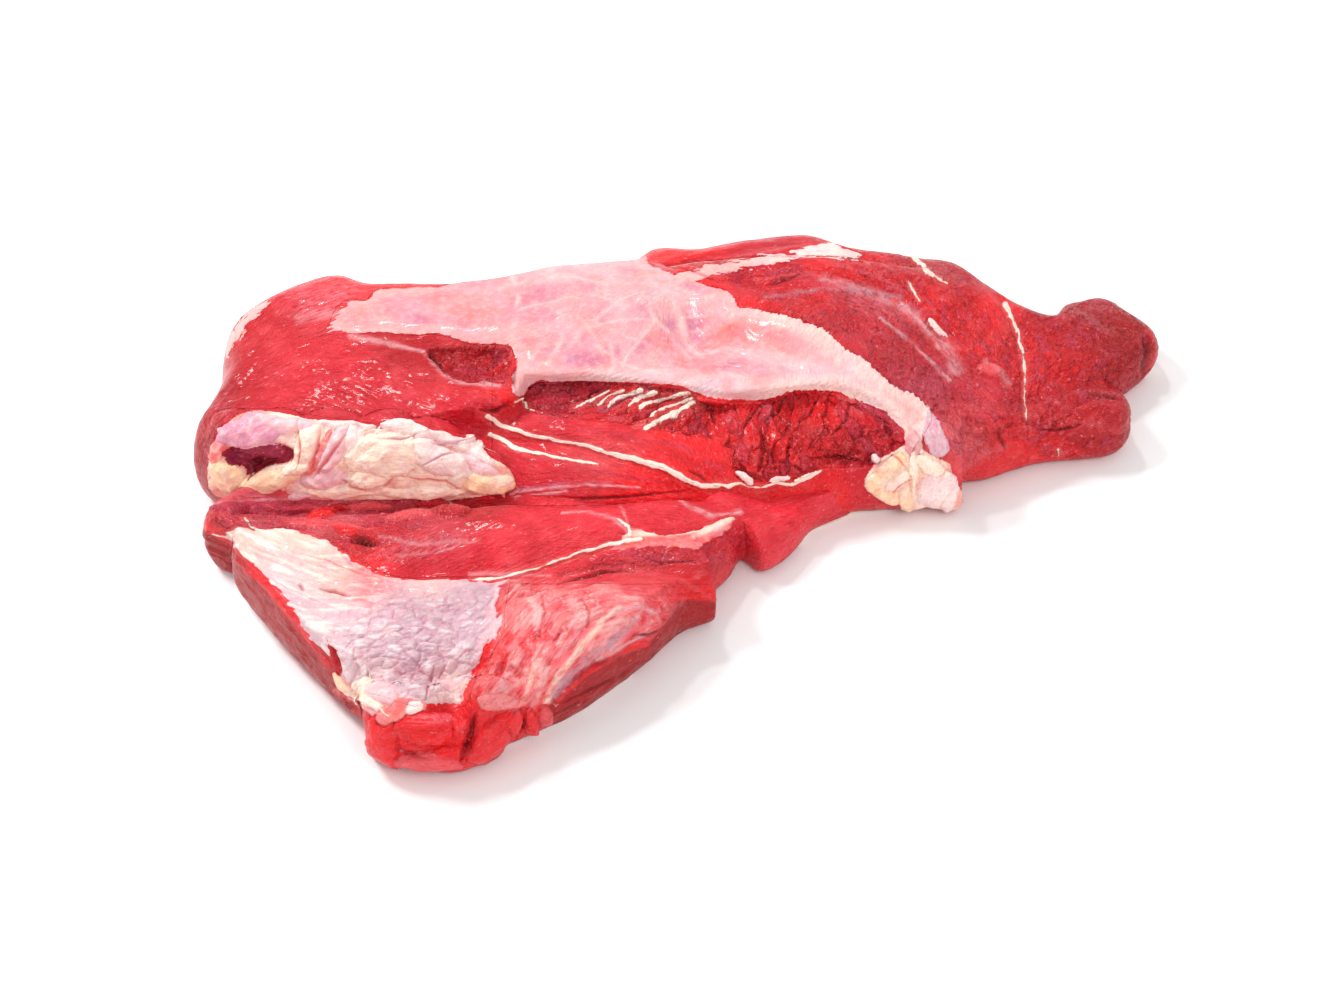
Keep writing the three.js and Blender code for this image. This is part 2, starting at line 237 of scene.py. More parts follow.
def rays_of(spine, side, right, left):
    """Feet and headings of the rays round a spine, clockwise, and each ray's twin: the first ray that
    starts at the same foot."""
    s = np.asarray(spine, float)
    reach = np.concatenate([[0.0], np.cumsum(np.linalg.norm(np.diff(s[:, :2], axis=0), axis=1))])
    line = np.stack([np.interp(np.linspace(0, reach[-1], side + 1), reach, s[:, k]) for k in range(3)], -1)
    fan_right = s[-1, 2] + 90 - 180 * np.arange(1, right) / right
    fan_left = s[0, 2] - 90 - 180 * np.arange(1, left) / left
    heading = np.concatenate([line[:, 2] + 90, fan_right, line[::-1, 2] - 90, fan_left])
    feet = np.concatenate([line[:, :2], np.repeat(s[-1:, :2], right - 1, 0), line[::-1, :2],
                           np.repeat(s[:1, :2], left - 1, 0)])
    twin = np.concatenate([np.arange(side + 1), np.full(right - 1, side), np.arange(side + 1)[::-1],
                           np.zeros(left - 1, int)])
    return feet, np.radians(heading), twin


def meet(feet, heading, outline):
    """Where each ray first crosses the closed outline: its reach, and the rim's radius there."""
    d = np.stack([np.cos(heading), np.sin(heading)], -1)[:, None]
    a = outline[None, :, :2]
    edge = np.roll(outline, -1, 0)[None, :, :2] - a
    w = a - feet[:, None]
    turn = d[..., 0] * edge[..., 1] - d[..., 1] * edge[..., 0]
    turn = np.where(np.abs(turn) < 1e-9, 1e-9, turn)
    reach = (w[..., 0] * edge[..., 1] - w[..., 1] * edge[..., 0]) / turn
    share = (w[..., 0] * d[..., 1] - w[..., 1] * d[..., 0]) / turn
    reach = np.where((reach > 0) & (share >= 0) & (share <= 1), reach, np.inf)
    k, n = reach.argmin(1), np.arange(len(feet))
    rim = outline[k, 2] + (np.roll(outline, -1, 0)[k, 2] - outline[k, 2]) * share[n, k]
    return reach[n, k], rim


def lobe(back_edge, front_edge, spine, fans, top, rows):
    """The grid of a lobe, (rings, rays, 3): ring k lies inset from the outline and at a level from 1,
    the upper side, over 0, the widest line of the side, to -1, the underside."""
    outline = closed_curve(list(back_edge) + list(front_edge)[-2:0:-1])
    feet, heading, twin = rays_of(spine, *fans)
    reach, rim = meet(feet, heading, outline)
    rim, under = np.minimum(rim, 0.8 * reach), np.minimum(UNDERCUT, 0.5 * reach)
    n_top, n_rim, n_under, n_floor = rows
    inset, level = [], []
    for k in range(n_top):
        inset.append(reach + (rim - reach) * k / n_top)
        level.append(1.0)
    for k in range(n_rim, -n_under, -1):
        angle = np.pi / 2 * k / (n_rim if k > 0 else n_under)
        inset.append((rim if k > 0 else under) * (1 - np.cos(angle)))
        level.append(np.sin(angle))
    for k in range(n_floor + 1):
        inset.append(under + (reach - under) * k / n_floor)
        level.append(-1.0)
    level = np.array(level)[:, None]
    out = np.stack([np.cos(heading), np.sin(heading)], -1)
    xy = feet[None] + out[None] * (reach[None] - np.array(inset))[..., None]
    height = top(xy[..., 0].ravel(), xy[..., 1].ravel()).reshape(xy.shape[:2])
    bulge = BULGE_SHARE * height
    z = np.where(level >= 0, bulge + (height - bulge) * level, bulge * (1 + level))
    return np.concatenate([xy, z[..., None]], -1), twin


def grid_normals(grid):
    """Unit normals of a closed ring grid, outwards; the spine's two rows point straight up and down."""
    across = np.roll(grid, -1, 1) - np.roll(grid, 1, 1)
    down = np.gradient(grid, axis=0)
    normal = np.cross(across, down)
    length = np.linalg.norm(normal, axis=-1, keepdims=True)
    normal = normal / np.maximum(length, 1e-9)
    normal[0], normal[-1] = (0, 0, 1), (0, 0, -1)
    return normal


# Noise, worked out for whole arrays

KEYS = np.array([374761393, 668265263, 1440662683], np.uint32)


def scrambled(key):
    """A repeatable number from 0 to 1 for each 32-bit key."""
    key = (key ^ (key >> 15)) * np.uint32(0x2C1B3C6D)
    key = (key ^ (key >> 12)) * np.uint32(0x297A2D39)
    return (key ^ (key >> 15)) * 2.0 ** -32


def cell_keys(p, seed):
    """Whole-number cells of the points, and one key part for each axis."""
    base = np.floor(p)
    keys = base.astype(np.int64).astype(np.uint32) * KEYS
    keys[:, 2] += np.uint32(seed * 2654435761 % 2 ** 32)
    return base, keys


def shifted(keys, shift):
    """The key of the cell that lies a whole-number shift away."""
    return sum(keys[:, k] + KEYS[k] * np.uint32(d % 2 ** 32) for k, d in enumerate(shift))


def noise(p, seed=0):
    """Smooth value noise from -1 to 1 over points p, one cell to a unit."""
    base, keys = cell_keys(p, seed)
    t = p - base
    t = t * t * t * (t * (t * 6 - 15) + 10)
    total = 0.0
    for corner in product((0, 1), repeat=3):
        weight = np.prod([t[:, k] if d else 1 - t[:, k] for k, d in enumerate(corner)], 0)
        total = total + weight * scrambled(shifted(keys, corner))
    return 2 * total - 1


def turbulence(p, size, octaves=3, seed=0):
    """Sum of noise at size, size/2, size/4 ... with halved strength, about -1 to 1."""
    total, strength = 0.0, 1.0
    for k in range(octaves):
        total = total + strength * noise(p * (2 ** k / size), seed + k)
        strength *= 0.5
    return total / 1.5


def flakes(p, size, seed=0, jitter=1.0):
    """Jittered cells, each with its own tilt: the gap between the nearest and second nearest centre,
    the cell's own number from 0 to 1, and its tilted height, all in cell sizes."""
    p = p / size
    base, keys = cell_keys(p, seed)
    first, second = np.full(len(p), 9.0), np.full(len(p), 9.0)
    own, tilt = np.zeros(len(p)), np.zeros(len(p))
    for shift in product((-1, 0, 1), repeat=3):
        key = shifted(keys, shift)
        a, b, c = (scrambled(key + np.uint32(s)) for s in (101, 202, 303))
        spread = np.stack([a, b, c], -1) - 0.5
        off = p - (base + np.array(shift) + 0.5 + jitter * spread)
        gap = np.sqrt((off ** 2).sum(1))
        nearer = gap < first
        first, second = np.where(nearer, gap, first), np.where(nearer, first, np.minimum(second, gap))
        own = np.where(nearer, a, own)
        tilt = np.where(nearer, (off * (spread[:, ::-1] * 2)).sum(1), tilt)
    return second - first, own, tilt


GRAIN_TURNS = np.radians(np.arange(0, 180, 30))


def streaks(p, grain, along, across, seed=0):
    """Noise drawn out along the grain: six turned noises, weighted by how near each is to the
    grain's heading."""
    total, weights = 0.0, 1e-6
    for turn in GRAIN_TURNS:
        weight = np.clip(grain[:, 0] * np.cos(2 * turn) + grain[:, 1] * np.sin(2 * turn), 0, None) ** 3
        c, s = np.cos(turn), np.sin(turn)
        local = np.stack([(p[:, 0] * c + p[:, 1] * s) / along, (p[:, 1] * c - p[:, 0] * s) / across,
                          p[:, 2] / across], -1)
        total = total + weight * noise(local, seed)
        weights = weights + weight
    return total / weights


# Reading the photo

def photo_plane(points):
    """Where points in the frame show in the photo: millimetres right of and above its centre at the
    aim's distance, with the foreshortening towards the back undone."""
    ray = points - EYE
    depth = ray @ FORWARD
    return np.stack([ray @ RIGHT / depth, ray @ UP / depth / FORESHORTENING], -1) * DISTANCE


def pixels_of(q):
    """Photo pixels of places in the photo plane."""
    return q * PIXELS_PER_MM * [1, -FORESHORTENING] + PHOTO_SIZE / 2


def marks(pixels):
    """Places in the photo plane of photo pixels."""
    p = np.asarray(pixels, float)[:, :2] - PHOTO_SIZE / 2
    return p / PIXELS_PER_MM / [1, -FORESHORTENING]


OUTSIDE = 12.0


def inside(q, pixels):
    """Distance in from a smooth closed outline given in photo pixels, negative outside and held at
    -OUTSIDE further off."""
    loop = closed_curve(marks(pixels), 4)
    out = np.full(len(q), -OUTSIDE)
    k = close_to(loop, q, OUTSIDE)
    x, y = q[k].T
    ring = np.vstack([loop, loop[:1]])
    odd = np.zeros(len(k), bool)
    for a, b in zip(ring[:-1], ring[1:]):
        rise = b[1] - a[1] if abs(b[1] - a[1]) > 1e-9 else 1e-9
        odd ^= ((a[1] > y) != (b[1] > y)) & (x < a[0] + (y - a[1]) / rise * (b[0] - a[0]))
    distance = np.abs(nearest_on(ring, q[k])[0])
    out[k] = np.where(odd, distance, -np.minimum(distance, OUTSIDE))
    return out


def closeness(q, at, reach):
    """exp(-distance^2 / (2 reach^2)) from points to samples, scaled so that each point's nearest
    sample weighs 1."""
    squared = ((q ** 2).sum(1)[:, None] - 2 * q @ at.T + (at ** 2).sum(1)[None])
    return np.exp(-(squared - squared.min(1, keepdims=True)) / (2 * reach ** 2))


GRAIN_REACH, TONE_REACH, SILVER_REACH = 15.0, 9.0, 8.0  # millimetres over which samples run together


def grain_field(q, samples):
    """The fibres' heading as (cos 2a, sin 2a): a weighted mean of headings seen at photo pixels."""
    samples = np.asarray(samples, float)
    at = marks(samples)
    angle = np.radians(samples[:, 2])
    angle = np.arctan2(np.sin(angle) / FORESHORTENING, np.cos(angle))
    weight = closeness(q, at, GRAIN_REACH)
    c, s = weight @ np.cos(2 * angle), weight @ np.sin(2 * angle)
    size = np.maximum(np.hypot(c, s), 1e-9)
    return np.stack([c / size, s / size], -1)


def linear(rgb):
    """Colour as light from screen values 0 to 255."""
    c = np.asarray(rgb, float) / 255
    return np.where(c <= 0.04045, c / 12.92, ((c + 0.055) / 1.055) ** 2.4)


# Tones of the meat, as screen colours. The darkest reds are painted shade: on sides and cut walls turned
# away from the light, and in creases, gaps and holes.
TONES = {
    "smooth": (212, 28, 46), "bright": (238, 24, 32), "clear": (232, 44, 60), "deep": (188, 14, 28),
    "shade_red": (166, 10, 18), "dark": (120, 6, 14), "black": (50, 0, 4), "purple": (150, 34, 74),
    "violet": (190, 52, 80), "pale": (222, 108, 118), "rose": (236, 84, 90),
    "skin": (226, 154, 158), "skin_low": (228, 158, 156), "skin_warm": (240, 104, 98),
    "skin_violet": (196, 112, 138), "web": (248, 206, 200),
    "fat": (255, 222, 200), "fat_white": (250, 218, 212), "fat_yellow": (252, 204, 164),
    "fat_red": (220, 70, 70), "fat_violet": (222, 140, 166), "fat_pearl": (240, 184, 190),
    "silver": (214, 184, 187), "silver_violet": (192, 156, 168), "silver_cream": (230, 190, 174),
    "silver_highlight": (236, 224, 230), "fascia": (244, 138, 136), "fat_light": (255, 234, 220)}
TONES = {name: linear(rgb) for name, rgb in TONES.items()}


def toned(q, samples, reach):
    """A soft map of named tones: the weighted mean of tones placed at photo pixels."""
    at = marks([s[:2] for s in samples])
    tones = np.array([TONES[s[2]] for s in samples])
    weight = closeness(q, at, reach)
    return weight @ tones / weight.sum(1, keepdims=True)


def towards(colour, tone, share):
    """Colour mixed with a named tone."""
    return colour + (TONES[tone] - colour) * np.clip(share, 0, 1)[:, None]


class Surface:
    """Points of a lobe and what grows on them: relief in millimetres and the finish's values."""

    def __init__(self, p, normal, grain, tones, seed):
        """The lean's colour is a weighted mean of the tones nearby, mottled by noise. The relief
        starts as fibres along the grain and noise."""
        self.p = p
        to_eye = EYE - p
        to_eye /= np.linalg.norm(to_eye, axis=1, keepdims=True)
        self.facing = smoothstep(-0.02, 0.16, (normal * to_eye).sum(1)) * smoothstep(0.5, 3.0, p[:, 2])
        self.q = photo_plane(p)
        self.px = pixels_of(self.q)
        self.grain = grain_field(self.q, grain)
        self.lean = toned(self.q, tones, TONE_REACH) * (1 + 0.14 * turbulence(p, 22, 3, seed + 1))[:, None]
        mottle = turbulence(p, 7, 4, seed + 5) + 0.5 * streaks(p, self.grain, 8, 1.2, seed + 6)
        self.lean = towards(self.lean, "deep", 0.45 * mottle)
        self.lean = towards(self.lean, "rose", -0.45 * mottle)
        self.over = self.plain("skin")
        self.cover, self.seam = np.full(len(p), -OUTSIDE), np.full(len(p), -OUTSIDE)
        self.film, self.torn = np.zeros(len(p)), np.zeros(len(p))
        self.relief = (0.30 * streaks(p, self.grain, 24, 3.2, seed + 2)
                       + 0.25 * turbulence(p, 6, 3, seed + 3)
                       + 0.16 * streaks(p, self.grain, 9, 1.5, seed + 4))

    def plain(self, name):
        """One named tone for every point."""
        return np.repeat(TONES[name][None], len(self.p), 0)

    def outline(self, pixels):
        """Distance in from an outline; hidden points lie outside it."""
        return (inside(self.q, pixels) + OUTSIDE) * self.facing - OUTSIDE

    def beside(self, path, margin):
        """The points near a path in photo pixels: their indices, signed distance from it, share of its
        length, and how far they lie beyond its ends."""
        at = marks(path)
        k = close_to(at, self.q, margin)
        return (k, *nearest_on(at, self.q[k]))

    def ellipse(self, k, px, py, half_w, half_h, turn, bend=0.0):
        """Share of the way out from the centre of a turned ellipse in photo pixels."""
        x, y = self.px[k, 0] - px + bend, py - self.px[k, 1] + bend
        c, s = np.cos(np.radians(turn)), np.sin(np.radians(turn))
        return np.hypot((x * c + y * s) / half_w, (y * c - x * s) / half_h)

    def spots(self, specs):
        """The strongest of exp(-share^4) over ellipses, each with a strength."""
        best = np.zeros(len(self.p))
        for *place, strength in specs:
            best = np.maximum(best, strength * np.exp(-self.ellipse(slice(None), *place) ** 4))
        return best * self.facing

    def lay(self, mask, tone, height, softness=0.8):
        """A layer over the lean inside a mask, with its own relief and a step at its edge."""
        share = smoothstep(-0.25, softness, mask)
        self.relief += (height - self.relief) * share
        self.over = np.where((mask > self.cover)[:, None], tone, self.over)
        self.cover = np.maximum(self.cover, mask)

    def swellings(self, specs, seed, covering=True, base=0.0, rise_share=1.0, wrinkle=0.5):
        """Rounded lobules: the highest of rise * sqrt(1 - share^2.4) over warped ellipses. Their tones
        run into each other; where two meet there is a crease that comes and goes. Wrinkles follow the
        grain. Creases and the wrinkles' hollows are painted darker, painted shade that on fat is partly
        the red showing between lobules; the wrinkles' crests are painted lighter, a painted highlight."""
        low = np.min([(s[0] - 1.4 * max(s[2:4]), s[1] - 1.4 * max(s[2:4])) for s in specs], 0)
        high = np.max([(s[0] + 1.4 * max(s[2:4]), s[1] + 1.4 * max(s[2:4])) for s in specs], 0)
        k = np.flatnonzero(((self.px > low) & (self.px < high)).all(1) & (self.facing > 0.02))
        p = self.p[k]
        warp = 0.20 * turbulence(p, 9, 3, seed) + 0.12 * turbulence(p, 3, 2, seed + 3)
        bend = 4.5 * turbulence(p, 13, 3, seed + 5)
        top, second = np.full(len(k), -1.0), np.full(len(k), -1.0)
        tone, weights = 0.0, 1e-9
        for *place, rise, name in specs:
            share = self.ellipse(k, *place, bend) + warp
            dome = np.where(share < 1, rise * np.sqrt(np.clip(1 - np.abs(share) ** 2.4, 0, None)),
                            (1 - share) * 4)
            higher = dome > top
            top, second = np.where(higher, dome, top), np.where(higher, top, np.maximum(second, dome))
            weight = np.exp(2.2 * np.maximum(dome, -3.0))[:, None]
            tone, weights = tone + weight * TONES[name], weights + weight
        tone = tone / weights
        fades = smoothstep(-0.35, 0.35, turbulence(p, 7, 2, seed + 13))
        crease = (np.exp(-((top - np.maximum(second, 0)) / 0.42) ** 2) * smoothstep(0.3, 1.5, second)
                  * (0.35 + 0.65 * fades))
        strands = streaks(p, self.grain[k], 11, 1.9, seed + 7)
        folds = 1 - 2.4 * np.abs(streaks(p, self.grain[k], 16, 4.2, seed + 8))
        wrinkles = 0.45 * folds + 0.40 * strands + 0.30 * turbulence(p, 2.4, 2, seed + 9)
        height = base + rise_share * top + (wrinkle * wrinkles - 0.4 * crease) * smoothstep(0.2, 1.6, top)
        share = smoothstep(-0.1, 0.6, top) * self.facing[k]
        self.relief[k] += (np.maximum(height, 0) - self.relief[k]) * share
        tone = tone * (1 + 0.10 * turbulence(p, 9, 2, seed + 11))[:, None]
        # Painted shade in the creases and hollows, painted highlight on the crests.
        crease = 0.32 * crease + 0.30 * smoothstep(0.1, -0.9, wrinkles) * fades
        tone = towards(tone, "fat_red" if covering else "dark", crease)
        tone = towards(tone, "fat_light" if covering else "rose", 0.5 * smoothstep(0.1, 0.9, wrinkles))
        if covering:
            self.over[k] = np.where((top > 0)[:, None], tone, self.over[k])
            self.cover[k] = np.maximum(self.cover[k], np.where(top > 0, top + 0.2, -OUTSIDE))
        else:
            self.lean[k] += (tone - self.lean[k]) * share[:, None]
            self.cover[k] = np.where(share > 0.5, -OUTSIDE, self.cover[k])

    def cords(self, specs):
        """White cords along paths: rounded ridges whose width wanders, each with a groove under its
        right-hand side."""
        for path, first, last in specs:
            k, side, share, beyond = self.beside(path, 6.0)
            half = (first + (last - first) * share) * (1 + 0.8 * turbulence(self.p[k], 8, 3, 501))
            side = side + 0.9 * turbulence(self.p[k], 6, 3, 511)
            out = np.hypot(side, beyond)
            ridge = np.sqrt(np.clip(1 - (out / (half + 0.5)) ** 2, 0, None))
            sunk = np.exp(-((side - half - 1.1) / 0.8) ** 2) * (beyond == 0)
            facing = self.facing[k]
            self.relief[k] += facing * (np.clip(half, 0, 1.2) * 0.6 * ridge - 0.5 * sunk)
            halo = facing * np.exp(-(out / (half + 0.9)) ** 2)
            self.lean[k] = towards(self.lean[k], "skin_warm", 0.6 * halo)
            self.seam[k] = np.maximum(self.seam[k], np.where(facing > 0.3, half - out, -OUTSIDE))

    def creases(self, specs):
        """Folds along paths that taper to their ends: a sharp groove of a half-width and a depth, with
        a tone at its bottom. Dark tones there are painted shade in the fold; the others are the colour
        that shows in the fold."""
        for path, half, depth, name in specs:
            k, side, share, beyond = self.beside(path, 4.0)
            side = side + 0.4 * turbulence(self.p[k], 5, 2, 521)
            taper = np.sqrt(np.clip(4 * share * (1 - share), 0.02, 1))
            fold = np.exp(-(np.hypot(side, beyond) / (half * taper)) ** 2) * self.facing[k] * taper
            self.relief[k] -= depth * fold
            self.over[k] = towards(self.over[k], name, 0.85 * fold)
            self.lean[k] = towards(self.lean[k], name, 0.9 * fold)
            self.seam[k] -= 3 * fold * (depth > 1.5)

    def bundled(self, k):
        """Points turned so that x runs along the fibres, to the nearest of the grain's turns."""
        grain = self.grain[k]
        match = grain[:, :1] * np.cos(2 * GRAIN_TURNS) + grain[:, 1:] * np.sin(2 * GRAIN_TURNS)
        turn = GRAIN_TURNS[match.argmax(1)]
        p, c, s = self.p[k], np.cos(turn), np.sin(turn)
        return np.stack([p[:, 0] * c + p[:, 1] * s, p[:, 1] * c - p[:, 0] * s, p[:, 2]], -1)

    def tear(self, mask, depth, seed, size=3.2, drawn=2.4, lumps=0.9):
        """Torn meat: tilted fibre bundles drawn out along the grain with sharp gaps between them, finer
        ones over them, and broad lumps under them. Its colour is painted shade in the low parts and the
        gaps, and painted highlight on the high parts."""
        k = np.flatnonzero(mask > -2)
        share = smoothstep(-1.5, 2.5, mask[k])
        p = self.bundled(k)
        bent = p + size * 0.5 * turbulence(self.p[k], 2.6 * size, 3, seed + 2)[:, None]
        gap, own, tilt = flakes(bent / [drawn, 1, 1], size, seed + 4)
        _, fine_own, fine_tilt = flakes(bent / [drawn * 0.8, 1, 1], size * 0.45, seed + 5)
        broad = turbulence(self.p[k], size * 3.5, 2, seed + 6)
        split = np.exp(-(gap / 0.09) ** 2) * smoothstep(0.2, 0.7, own)
        rough = 1.0 * tilt + 0.55 * fine_tilt - 0.5 * split + lumps * broad
        self.relief[k] += (depth * rough - self.relief[k]) * share
        # Painted shade in the low parts and the gaps, painted highlight on the high parts.
        shade = smoothstep(0.3, -1.1, rough)
        self.lean[k] = towards(self.lean[k], "shade_red", 0.5 * share * shade)
        self.lean[k] = towards(self.lean[k], "dark", 0.35 * share * split)
        light = smoothstep(0.2, 1.1, rough + 0.5 * fine_tilt) * smoothstep(0.2, 0.8, fine_own)
        self.lean[k] = towards(self.lean[k], "pale", 0.55 * share * light)
        self.lean[k] = towards(self.lean[k], "violet", 0.5 * share * smoothstep(0.7, 0.9, own))
        self.torn[k] = np.maximum(self.torn[k], share * np.minimum(depth, 1))

    def bands(self, specs, seed=701):
        """Soft pale or dark bands along paths: the lean's tone drawn towards another, with a low swell.
        Each is a path, a half-width in millimetres at its start and end, a tone, a strength and a rise.
        The darkest bands, which sink, are painted shade in their groove."""
        for path, first, last, name, strength, rise in specs:
            k, side, share, beyond = self.beside(path, 12.0)
            p = self.p[k]
            half = (first + (last - first) * share) * (1 + 0.4 * turbulence(p, 7, 2, seed))
            off = np.hypot(side + 0.5 * turbulence(p, 4, 2, seed + 1), beyond) / half
            patchy = smoothstep(-0.7, 0.3, streaks(p, self.grain[k], 8, 1.2, seed + 2)
                                + 0.6 * turbulence(p, 5, 2, seed + 3))
            fade = np.exp(-off ** 2.5) * self.facing[k]
            self.relief[k] += rise * fade
            self.lean[k] = towards(self.lean[k], name, strength * fade * (0.25 + 0.75 * patchy))


# Places on the back body, in photo pixels

SKIN = [
    (300, 337), (325, 331), (337, 308), (352, 299), (366, 301), (379, 290), (407, 288), (447, 286),
    (480, 262), (560, 244), (636, 246), (650, 265), (680, 277), (708, 286), (725, 290), (734, 297),
    (738, 307), (751, 309), (780, 314), (805, 322), (826, 332), (844, 348), (864, 359), (880, 373),
    (895, 386), (913, 394), (925, 406), (930, 420), (922, 436), (922, 452), (908, 450), (905, 436),
    (899, 425), (887, 413), (872, 405), (853, 397), (834, 391), (815, 390), (794, 391), (777, 396),
    (751, 400), (719, 398), (697, 393), (675, 385), (632, 382), (602, 381), (562, 381), (536, 382),
    (522, 396), (513, 392), (512, 376), (516, 364), (508, 345), (470, 343), (440, 334), (405, 334),
    (380, 331), (360, 333), (337, 333)]
OPEN_MEAT = [
    (520, 396), (536, 384), (562, 382), (602, 382), (632, 383), (675, 386), (697, 394), (719, 399),
    (751, 401), (777, 397), (794, 392), (815, 391), (834, 392), (853, 398), (872, 406), (887, 414),
    (899, 426), (904, 440), (890, 455), (866, 466), (820, 468), (803, 476), (776, 480), (746, 480),
    (733, 470), (722, 442), (690, 436), (640, 426), (590, 420), (545, 414), (524, 408)]
POCKET = [
    (424, 352), (438, 347), (466, 345), (485, 346), (506, 348), (512, 360), (510, 377), (506, 385),
    (480, 384), (459, 383), (444, 376), (434, 364)]
LEFT_FAT_MASS = [
    (228, 424), (244, 415), (261, 413), (284, 415), (313, 421), (341, 425), (374, 429), (395, 430),
    (421, 432), (449, 437), (470, 446), (487, 456), (504, 466), (514, 480), (508, 490), (480, 496),
    (440, 500), (380, 500), (330, 502), (296, 496), (242, 500), (214, 490), (209, 470), (214, 446)]
RED_POCKET = [(222, 452), (232, 446), (250, 446), (270, 443), (288, 446), (296, 456), (284, 463),
              (266, 466), (256, 474), (250, 482), (244, 468), (230, 464)]
SKIN_TEAR = [(356, 334), (380, 333), (405, 335), (426, 341), (418, 348), (395, 345), (370, 341)]
LEFT_EDGE_STRIP = [
    (208, 392), (210, 372), (215, 352), (225, 338), (238, 324), (250, 312), (262, 302), (268, 303),
    (256, 317), (246, 330), (236, 343), (227, 357), (221, 372), (214, 387)]
BACK_WHITE = [
    (676, 276), (700, 269), (730, 262), (760, 257), (790, 253), (812, 246), (830, 243), (848, 248),
    (862, 256), (846, 260), (820, 258), (800, 258), (780, 262), (760, 266), (735, 270), (712, 277),
    (695, 280)]

BODY_CORDS = [  # path, half-width in millimetres at its start and at its end
    ([(487, 416), (502, 426), (520, 432), (540, 437), (565, 442), (586, 446), (607, 453), (628, 457),
      (645, 463), (662, 468), (676, 474), (686, 480), (700, 485), (718, 486)], 1.0, 1.5),
    ([(714, 484), (728, 486), (740, 483), (750, 487), (762, 488), (776, 483), (791, 484), (803, 480),
      (815, 474), (820, 470)], 0.8, 0.9),
    ([(490, 435), (502, 440), (512, 447), (527, 452), (548, 456), (573, 461), (598, 464)], 1.1, 0.5),
    ([(1004, 304), (1013, 320), (1018, 335), (1024, 358), (1025, 373), (1024, 394), (1027, 421)],
     1.0, 0.2),
    ([(913, 256), (919, 262), (926, 272), (933, 277), (946, 284)], 1.5, 0.4),
    ([(908, 281), (915, 294), (920, 302)], 0.3, 0.6),
    ([(573, 407), (592, 399), (609, 391)], 0.4, 0.8), ([(597, 403), (612, 396), (624, 391)], 0.7, 1.2),
    ([(608, 405), (626, 397), (642, 390)], 0.8, 1.5), ([(628, 406), (642, 398), (655, 391)], 0.8, 1.6),
    ([(640, 408), (664, 398), (688, 393)], 0.9, 1.9), ([(646, 430), (668, 418), (693, 402)], 0.9, 1.8),
    ([(650, 416), (672, 406), (692, 398)], 0.7, 0.9), ([(1057, 448), (1058, 456)], 0.4, 0.2),
    ([(513, 402), (522, 398), (534, 410)], 0.5, 0.4)]
BODY_BANDS = [  # path, half-width in millimetres at its start and end, tone, strength, rise; the darkest bands are painted shade in grooves and under the skin's edge
    ([(502, 494), (540, 489), (590, 485), (640, 488)], 1.2, 0.6, "fat_pearl", 0.8, 0.4),
    ([(500, 499), (530, 495), (566, 492)], 0.8, 1.0, "fat_pearl", 0.8, 0.4),
    ([(640, 426), (664, 416), (698, 400)], 3.0, 4.0, "skin_warm", 0.8, 0.6),
    ([(574, 402), (610, 398), (650, 396), (690, 398)], 3.0, 3.6, "rose", 0.7, 0.4),
    ([(600, 409), (625, 398), (650, 388)], 2.6, 2.6, "skin_violet", 0.5, 0.0),
    ([(530, 388), (560, 385), (600, 384), (640, 386), (680, 392)], 0.9, 1.4, "dark", 0.75, -0.8),
    ([(700, 399), (730, 404), (760, 403)], 1.0, 1.6, "bright", 0.9, 0.8),
    ([(822, 280), (870, 292), (910, 312), (942, 340), (956, 372)], 3.0, 3.6, "fat_pearl", 0.55, 0.0),
    ([(880, 318), (905, 336), (928, 358), (950, 382)], 0.8, 0.8, "fat_pearl", 0.8, 0.4),
    ([(900, 302), (925, 326), (940, 350)], 0.7, 0.9, "fat_pearl", 0.7, 0.3),
    ([(765, 298), (800, 292), (850, 290), (900, 297)], 1.0, 1.8, "silver_violet", 0.5, 0.2),
    ([(760, 282), (785, 276), (812, 274), (850, 282)], 1.5, 1.2, "rose", 0.7, 0.6),
    ([(820, 262), (850, 268), (880, 277), (905, 292)], 1.0, 1.0, "pale", 0.6, 0.4),
    ([(684, 262), (730, 252), (780, 244), (830, 238)], 1.6, 2.4, "deep", 0.6, -0.5),
    ([(690, 268), (740, 257), (790, 248)], 0.6, 0.8, "pale", 0.7, 0.3),
    ([(668, 268), (684, 262), (700, 262)], 2.0, 1.5, "dark", 0.5, -0.6),
    ([(560, 425), (620, 434), (680, 446), (722, 470)], 1.0, 2.0, "violet", 0.5, 0.0),
    ([(612, 436), (650, 446), (690, 462), (716, 478)], 2.0, 3.0, "deep", 0.5, -0.4),
    ([(512, 446), (560, 462), (610, 474), (660, 482)], 2.0, 1.2, "violet", 0.4, 0.0),
    ([(860, 404), (878, 412), (892, 428)], 4.0, 4.0, "violet", 0.7, 0.0),
    ([(700, 298), (712, 304), (728, 306)], 1.0, 1.4, "pale", 0.5, 0.0),
    ([(300, 318), (330, 314), (360, 312)], 3.0, 2.0, "skin", 0.7, 0.0),
    ([(350, 336), (372, 340), (400, 346), (424, 352)], 2.0, 1.2, "fat_pearl", 0.6, 0.2),
    ([(424, 352), (436, 366), (450, 378), (470, 384), (500, 386)], 1.2, 1.4, "fat_pearl", 0.75, 0.5),
    ([(520, 489), (560, 484), (610, 482)], 1.6, 1.0, "skin_violet", 0.6, 0.0),
    ([(960, 470), (985, 452), (1006, 446)], 2.0, 2.0, "pale", 0.5, 0.0),
    ([(1040, 350), (1056, 378), (1066, 402)], 2.0, 2.4, "deep", 0.6, -0.4),
    ([(985, 360), (1000, 372), (1010, 384)], 1.6, 1.4, "fat_pearl", 0.4, 0.2),
    ([(1150, 330), (1156, 345), (1153, 366), (1146, 380)], 1.6, 1.4, "bright", 0.8, 0.6)]
